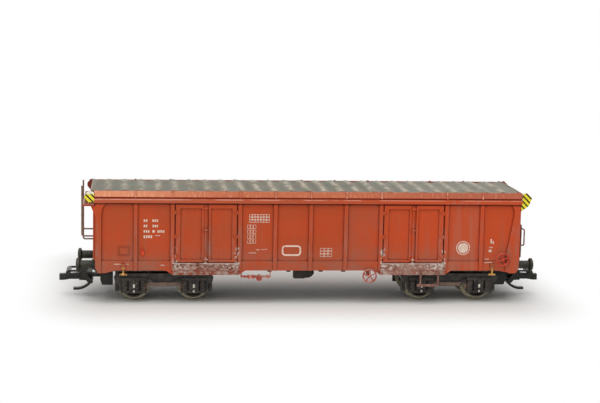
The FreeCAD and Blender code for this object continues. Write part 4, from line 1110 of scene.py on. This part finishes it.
@dataclass
class PrintMarks:
    """Plain printed marks on the near side: blank tables, bars and a ringed disc, with no letters."""

    panel_y: float = -11.735
    sill_y: float = -12.035
    sill_top: float = 11.05
    ink_depth: float = 0.04
    cell: float = 0.72
    cell_width: float = 0.66
    cell_height: float = 0.86
    rule: float = 0.085
    frame_rule: float = 0.42
    frame_corner: float = 0.9
    ring: tuple[float, float] = (0.86, 0.74)
    ring_lift: float = 0.03
    bars: tuple[tuple[float, float, float, float], ...] = (
        (-41.30, 21.20, 1.10, 0.72), (-38.90, 21.20, 1.60, 0.72), (-41.30, 19.85, 1.10, 0.72),
        (-38.90, 19.85, 1.50, 0.72), (-41.05, 18.50, 1.60, 0.72), (-39.30, 18.50, 0.60, 0.72),
        (-37.50, 18.50, 1.90, 0.72), (-40.70, 17.15, 2.30, 0.80), (-38.30, 17.45, 1.20, 0.30),
        (-47.30, 10.26, 3.80, 0.26), (-37.00, 10.00, 0.90, 0.34), (46.40, 16.20, 0.35, 1.30),
        (46.95, 15.90, 0.35, 0.80), (46.40, 14.60, 0.90, 0.30), (46.20, 13.70, 0.75, 0.75),
        (45.40, 11.55, 1.10, 0.30), (45.80, 10.75, 1.90, 0.34), (-13.20, 13.90, 0.90, 0.22),
        (-11.60, 14.00, 1.50, 0.18), (-14.60, 13.10, 1.90, 0.24))
    tables: tuple[tuple[float, float, float, float, int, int], ...] = (
        (-12.95, 21.85, 5.10, 2.10, 7, 3), (-14.85, 19.75, 2.20, 0.95, 3, 1),
        (-14.85, 18.50, 2.20, 0.95, 3, 1), (-14.85, 17.25, 2.20, 0.95, 3, 1),
        (-14.85, 16.00, 2.20, 0.95, 3, 1), (4.03, 13.24, 3.00, 2.20, 3, 3), (-4.75, 13.70, 4.90, 2.70, 1, 1))
    disc: tuple[float, float, float] = (39.16, 14.45, 1.80)

    def build(self) -> None:
        """Model the marks as thin plates of ink."""
        ink = PrintInk().make()
        Bench.dress(self.bar_marks(), ink, "van", "body_red")
        for number, table in enumerate(self.tables):
            Bench.dress(self.table_mark(number, *table), ink, "van", "body_red")
        self.ringed_disc(ink)

    def plate(self, x: float, z: float, width: float, height: float) -> bpy.types.Object:
        """Lay one rectangle of ink on the panel.

        Args:
            x: Middle along the van in millimetres.
            z: Middle height in millimetres.
            width: Width in millimetres.
            height: Height in millimetres.

        Returns:
            The rectangle.
        """
        Bench.clear()
        y = self.sill_y if z < self.sill_top else self.panel_y
        bpy.ops.mesh.primitive_plane_add(size=1.0, location=(x * MM, y * MM, z * MM),
                                         rotation=(math.radians(90), 0, 0))
        mark = bpy.context.active_object
        mark.scale = (width * MM, height * MM, 1.0)
        return Bench.settle(mark)

    def bar_marks(self) -> bpy.types.Object:
        """Lay the plain bars, a long one cut into equal cells, and join them.

        Returns:
            The bars, joined.
        """
        marks = []
        for x, z, width, height in self.bars:
            count = max(1, round(width / (height * self.cell)))
            step = width / count
            share = self.cell_width if count > 1 else 1.0
            for number in range(count):
                middle = x - width / 2 + (number + 0.5) * step
                marks.append(self.plate(middle, z, step * share, height * self.cell_height))
        Bench.clear()
        for mark in marks:
            mark.select_set(True)
        bpy.context.view_layer.objects.active = marks[0]
        bpy.ops.object.join()
        marks[0].name = "print_bars"
        return Bench.thicken(marks[0], self.ink_depth)

    def table_mark(self, number: int, x: float, z: float, width: float, height: float, columns: int,
                   rows: int) -> bpy.types.Object:
        """Lay a blank table: a plate cut into cells whose middles are left out.

        Args:
            number: Number for the name.
            x: Middle along the van in millimetres.
            z: Middle height in millimetres.
            width: Width in millimetres.
            height: Height in millimetres.
            columns: Cells along.
            rows: Cells up.

        Returns:
            The table.
        """
        Bench.clear()
        bpy.ops.mesh.primitive_grid_add(x_subdivisions=columns, y_subdivisions=rows, size=1.0,
                                        location=(x * MM, self.panel_y * MM, z * MM),
                                        rotation=(math.radians(90), 0, 0))
        table = bpy.context.active_object
        table.name = "print_table_%d" % number
        table.scale = (width * MM, height * MM, 1.0)
        Bench.settle(table)
        if columns * rows == 1:
            Bench.pick(table, Pick.POINTS, lambda point: True)
            bpy.ops.mesh.bevel(offset=self.frame_corner * MM, segments=5, affect="VERTICES")
        Bench.pick(table, Pick.FACES, lambda face: True)
        line = self.rule if columns * rows > 1 else self.frame_rule
        bpy.ops.mesh.inset(thickness=line * MM, use_individual=True)
        bpy.ops.mesh.delete(type="FACE")
        return Bench.thicken(table, self.ink_depth)

    def ringed_disc(self, ink: bpy.types.Material) -> None:
        """Lay the plain disc and the thin red ring on it.

        Args:
            ink: Off-white ink.
        """
        x, z, radius = self.disc
        red = RED_INK.make()
        ring_out, ring_in = self.ring
        for name, outer, inner, lift, material in (
                ("print_disc", radius, 0.0, 0.0, ink),
                ("print_disc_ring", radius * ring_out, radius * ring_in, self.ring_lift, red)):
            Bench.clear()
            bpy.ops.mesh.primitive_circle_add(vertices=48, radius=outer * MM, fill_type="NGON",
                                              location=(x * MM, (self.panel_y - lift) * MM, z * MM),
                                              rotation=(math.radians(90), 0, 0))
            disc = Bench.settle(bpy.context.active_object)
            disc.name = name
            if inner:
                Bench.pick(disc, Pick.FACES, lambda face: True)
                bpy.ops.mesh.inset(thickness=(outer - inner) * MM)
                bpy.ops.mesh.delete(type="FACE")
            Bench.dress(Bench.thicken(disc, self.ink_depth), material, "van", "body_red")


@dataclass
class RunningGear:
    """Chassis, bogies and wheelsets, with coil springs and bolts on every axle box."""

    pivot: float = 36.6
    half_base: float = 7.5
    axle_z: float = 4.35
    frame_y: float = 9.05
    box_y: float = 9.90
    spring_x: float = 2.25
    coil_r: float = 0.70
    wire_r: float = 0.17
    turns: int = 5
    spring_foot: float = 1.3
    spring_h: float = 2.6
    bolt_reach: float = 0.62

    def dress(self) -> None:
        """Paint the chassis, the bogies and the wheelsets."""
        paint(CHASSIS.make(), "chassis", "air_tank", "brake_cylinder")
        buffer = BUFFER.make()
        # Rolled mild steel: plain grey metal with a soft reflection.
        steel = Surface("Rolled steel, plain", "#8E8C86", 0.35, 1.0).finish()
        paint(steel, "ballast")
        for end in End:
            tag = end.name.lower()
            bogie = BogieFinish(end.value * self.pivot, self.half_base).make()
            paint(bogie, "bogie_%s_frame" % tag, "bogie_%s_brakes" % tag)
            paint(steel, "bogie_%s_screw" % tag)
            paint(buffer, "buffer_%s_near" % tag, "buffer_%s_far" % tag)
            for number, offset in ((1, -self.half_base), (2, self.half_base)):
                axle = "%s_%d" % (tag, number)
                finish = WheelFinish((end.value * self.pivot + offset) * MM, self.axle_z * MM).make()
                paint(finish, "wheel_%s_near" % axle, "wheel_%s_far" % axle, "axle_%s" % axle)
        LOG.info("running gear dressed")

    def build(self) -> None:
        """Model the springs and bolts of both bogies."""
        spring, bolts = SPRING_WIRE.make(), BOX_BOLT.make()
        for end in End:
            tag = end.name.lower()
            body = "bogie_%s" % tag
            springs = Bench.copies(self.coil(), self.spring_places(end), "springs_%s" % tag)
            Bench.dress(springs, spring, body, "bogie_brown", 60.0)
            for side in Side:
                Bench.dress(self.box_bolts(end, side), bolts, body, "bogie_brown")

    def spring_places(self, end: End) -> list[Place]:
        """Find the foot of every coil spring of one bogie.

        Args:
            end: Which bogie.

        Returns:
            The places in millimetres.
        """
        places = []
        for axle in (-self.half_base, self.half_base):
            for side in Side:
                for offset in (-self.spring_x, self.spring_x):
                    places.append((end.value * self.pivot + axle + offset, side.value * (self.frame_y + 0.15),
                                   self.axle_z - self.spring_foot))
        return places

    def coil(self) -> bpy.types.Object:
        """Model one coil spring about the origin: a round section screwed up its height.

        Returns:
            The spring.
        """
        Bench.clear()
        bpy.ops.mesh.primitive_circle_add(vertices=8, radius=self.wire_r * MM,
                                          location=(self.coil_r * MM, 0, self.wire_r * MM),
                                          rotation=(math.radians(90), 0, 0))
        coil = Bench.settle(bpy.context.active_object)
        screw = coil.modifiers.new("turns", "SCREW")
        screw.axis = "Z"
        screw.angle = math.tau
        screw.iterations = self.turns
        screw.screw_offset = (self.spring_h - 2 * self.wire_r) * MM / self.turns
        screw.steps = 14
        screw.render_steps = 14
        bpy.ops.object.modifier_apply(modifier=screw.name)
        Bench.pick(coil, Pick.EDGES, lambda edge: edge.is_boundary)
        bpy.ops.mesh.fill_holes(sides=8)
        bpy.ops.mesh.select_all(action="SELECT")
        bpy.ops.mesh.normals_make_consistent(inside=False)
        return Bench.settle(coil)

    def box_bolts(self, end: End, side: Side) -> bpy.types.Object:
        """Model the four cover bolts of each axle box on one side of a bogie.

        Args:
            end: Which bogie.
            side: Long side of the van.

        Returns:
            The bolts, joined.
        """
        turn = (math.radians(90.0 * -side.value), 0.0, 0.0)
        head = Bench.bolt(0.15, 0.14, turn)
        reach = self.bolt_reach
        places = []
        for axle in (-self.half_base, self.half_base):
            for run, rise in ((-reach, -reach), (reach, -reach), (-reach, reach), (reach, reach)):
                places.append((end.value * self.pivot + axle + run, side.value * (self.box_y + 0.05),
                               self.axle_z + rise))
        return Bench.copies(head, places, "box_bolts_%s_%s" % (end.name.lower(), side.name.lower()))


@dataclass
class Couplers:
    """Draw gear and buffer fastenings at both ends."""

    buffer_y: float = 7.30
    buffer_z: float = 9.38
    half_l: float = 53.70
    plate_out: float = 0.43
    bolt_run: float = 1.2
    bolt_low: float = 0.95
    bolt_high: float = 1.2

    def dress(self) -> None:
        """Paint the draw bars, trays, heads and bows."""
        finish = ACETAL.make()
        for end in ("left", "right"):
            paint(finish, *["%s_%s" % (name, end) for name in
                            ("draw_bar", "coupler_head", "coupler_bow", "coupler_tray")])
        LOG.info("couplers dressed")

    def build(self) -> None:
        """Model the bolts in each buffer's base plate."""
        steel = BASE_BOLT.make()
        for end in End:
            turn = (0.0, math.radians(90.0 * end.value), 0.0)
            head = Bench.bolt(0.16, 0.16, turn)
            places = []
            for side in Side:
                for rise in (-self.bolt_low, self.bolt_high):
                    for run in (-self.bolt_run, self.bolt_run):
                        places.append((end.value * (self.half_l + self.plate_out),
                                       side.value * self.buffer_y + run, self.buffer_z + rise))
            bolts = Bench.copies(head, places, "buffer_bolts_%s" % end.name.lower())
            Bench.dress(bolts, steel, "van", "buffer_black")


@dataclass
class Studio:
    """Floor, lamps, world and camera."""

    eye: Place = (-44.85, -390.24, 78.76)
    yaw: float = 6.334
    pitch: float = 7.860
    roll: float = 1.157
    focal_ratio: float = 1534.56 / 600.0
    surround: float = 0.30
    foot_x: float = 50.0
    foot_front: float = 9.0
    foot_rear: float = 45.0
    side_rate: float = 1.4
    fade: tuple[float, float] = (2.0, 34.0)
    lamps: tuple[tuple[str, Place, float, float], ...] = (
        ("softbox_top", (-40.0, -190.0, 430.0), 0.40, 1.35),
        ("softbox_front", (-200.0, -420.0, 180.0), 0.35, 0.45),
    )

    def build(self) -> None:
        """Make the stage, the lamps and the camera."""
        self.floor()
        self.world()
        for name, place, width, power in self.lamps:
            self.lamp(name, place, width, power)
        self.camera()
        scene = bpy.context.scene
        scene.unit_settings.system = "METRIC"
        scene.unit_settings.scale_length = 1.0
        scene.view_settings.view_transform = "Standard"
        LOG.info("studio ready")

    def floor(self) -> None:
        """Add the pale floor under the flange tips, which fades to white away from the van."""
        Bench.clear()
        bpy.ops.mesh.primitive_plane_add(size=6.0, location=(0, 0, -0.00002))
        plane = bpy.context.active_object
        plane.name = "floor"
        # Matt painted board: it shows the van's shadow and nothing else.
        s = Surface("Matt studio floor", "#EDECE8", 0.9)
        material = s.finish()
        x, y, _ = s.axes
        beyond = s.add(Step.SUBTRACT, s.add(Step.ABSOLUTE, x), self.foot_x * MM)
        side = s.times(s.add(Step.LARGER, beyond, 0.0), self.side_rate)
        front = s.add(Step.SUBTRACT, s.times(y, -1.0), self.foot_front * MM)
        rear = s.add(Step.SUBTRACT, y, self.foot_rear * MM)
        deep = s.add(Step.LARGER, s.add(Step.LARGER, front, rear), 0.0)
        away = s.add(Step.ROOT, s.add(Step.ADD, s.times(side, side), s.times(deep, deep)))
        path = add_node(s.tree, "ShaderNodeLightPath")
        gone = s.slope(away, self.fade[0], self.fade[1])
        share = s.times(gone, path.outputs["Is Camera Ray"])
        glow = add_node(s.tree, "ShaderNodeEmission", None, {"Color": (1.0, 1.0, 1.0, 1.0), "Strength": 1.0})
        blend = add_node(s.tree, "ShaderNodeMixShader", None,
                         {0: share, 1: s.shader.outputs[0], 2: glow.outputs[0]})
        output = next(node for node in s.tree.nodes if node.type == "OUTPUT_MATERIAL")
        s.tree.links.new(blend.outputs[0], output.inputs[0])
        plane.data.materials.append(material)

    def world(self) -> None:
        """White surround for the camera and reflections, even light for the object."""
        world = bpy.data.worlds.new("studio_surround")
        bpy.context.scene.world = world
        world.use_nodes = True
        tree = world.node_tree
        tree.nodes.clear()
        path = add_node(tree, "ShaderNodeLightPath")
        seen = add_node(tree, "ShaderNodeMath", {"operation": "MAXIMUM"},
                        {0: path.outputs["Is Camera Ray"], 1: path.outputs["Is Glossy Ray"]})
        seen = add_node(tree, "ShaderNodeMath", {"operation": "MAXIMUM"},
                        {0: seen.outputs[0], 1: path.outputs["Is Transmission Ray"]})
        strength = add_node(tree, "ShaderNodeMapRange", None,
                            {"Value": seen.outputs[0], "To Min": self.surround, "To Max": 1.0})
        light = add_node(tree, "ShaderNodeBackground", None,
                         {"Color": (1.0, 1.0, 1.0, 1.0), "Strength": strength.outputs[0]})
        out = add_node(tree, "ShaderNodeOutputWorld")
        tree.links.new(light.outputs[0], out.inputs[0])

    def lamp(self, name: str, place: Place, width: float, power: float) -> None:
        """Add one square softbox that faces the van.

        Args:
            name: Name of the lamp.
            place: Centre in millimetres.
            width: Side length in metres.
            power: Power in watts.
        """
        data = bpy.data.lights.new(name, "AREA")
        data.size = width
        data.energy = power
        lamp = bpy.data.objects.new(name, data)
        bpy.context.collection.objects.link(lamp)
        lamp.location = Vector(place) * MM
        aim = Vector((0, 0, 15)) * MM - lamp.location
        lamp.rotation_euler = aim.to_track_quat("-Z", "Y").to_euler()

    def camera(self) -> None:
        """Place the camera by its eye point, yaw, pitch and roll."""
        data = bpy.data.cameras.new("camera")
        data.sensor_width = 36.0
        data.lens = 36.0 * self.focal_ratio
        data.clip_start = 0.01
        data.clip_end = 20.0
        camera = bpy.data.objects.new("camera", data)
        bpy.context.collection.objects.link(camera)
        turn = (Matrix.Rotation(math.radians(-self.yaw), 4, "Z")
                @ Matrix.Rotation(math.radians(90.0 - self.pitch), 4, "X")
                @ Matrix.Rotation(math.radians(self.roll), 4, "Z"))
        camera.matrix_world = Matrix.Translation(Vector(self.eye) * MM) @ turn
        bpy.context.scene.camera = camera


def main() -> None:
    """Build every part of the scene in order."""
    logging.basicConfig(level=logging.INFO, format="%(message)s")
    Studio().build()
    body = Body()
    body.dress()
    body.build()
    Cover().build()
    PrintMarks().build()
    gear = RunningGear()
    gear.dress()
    gear.build()
    couplers = Couplers()
    couplers.dress()
    couplers.build()


if __name__ == "__main__":
    main()
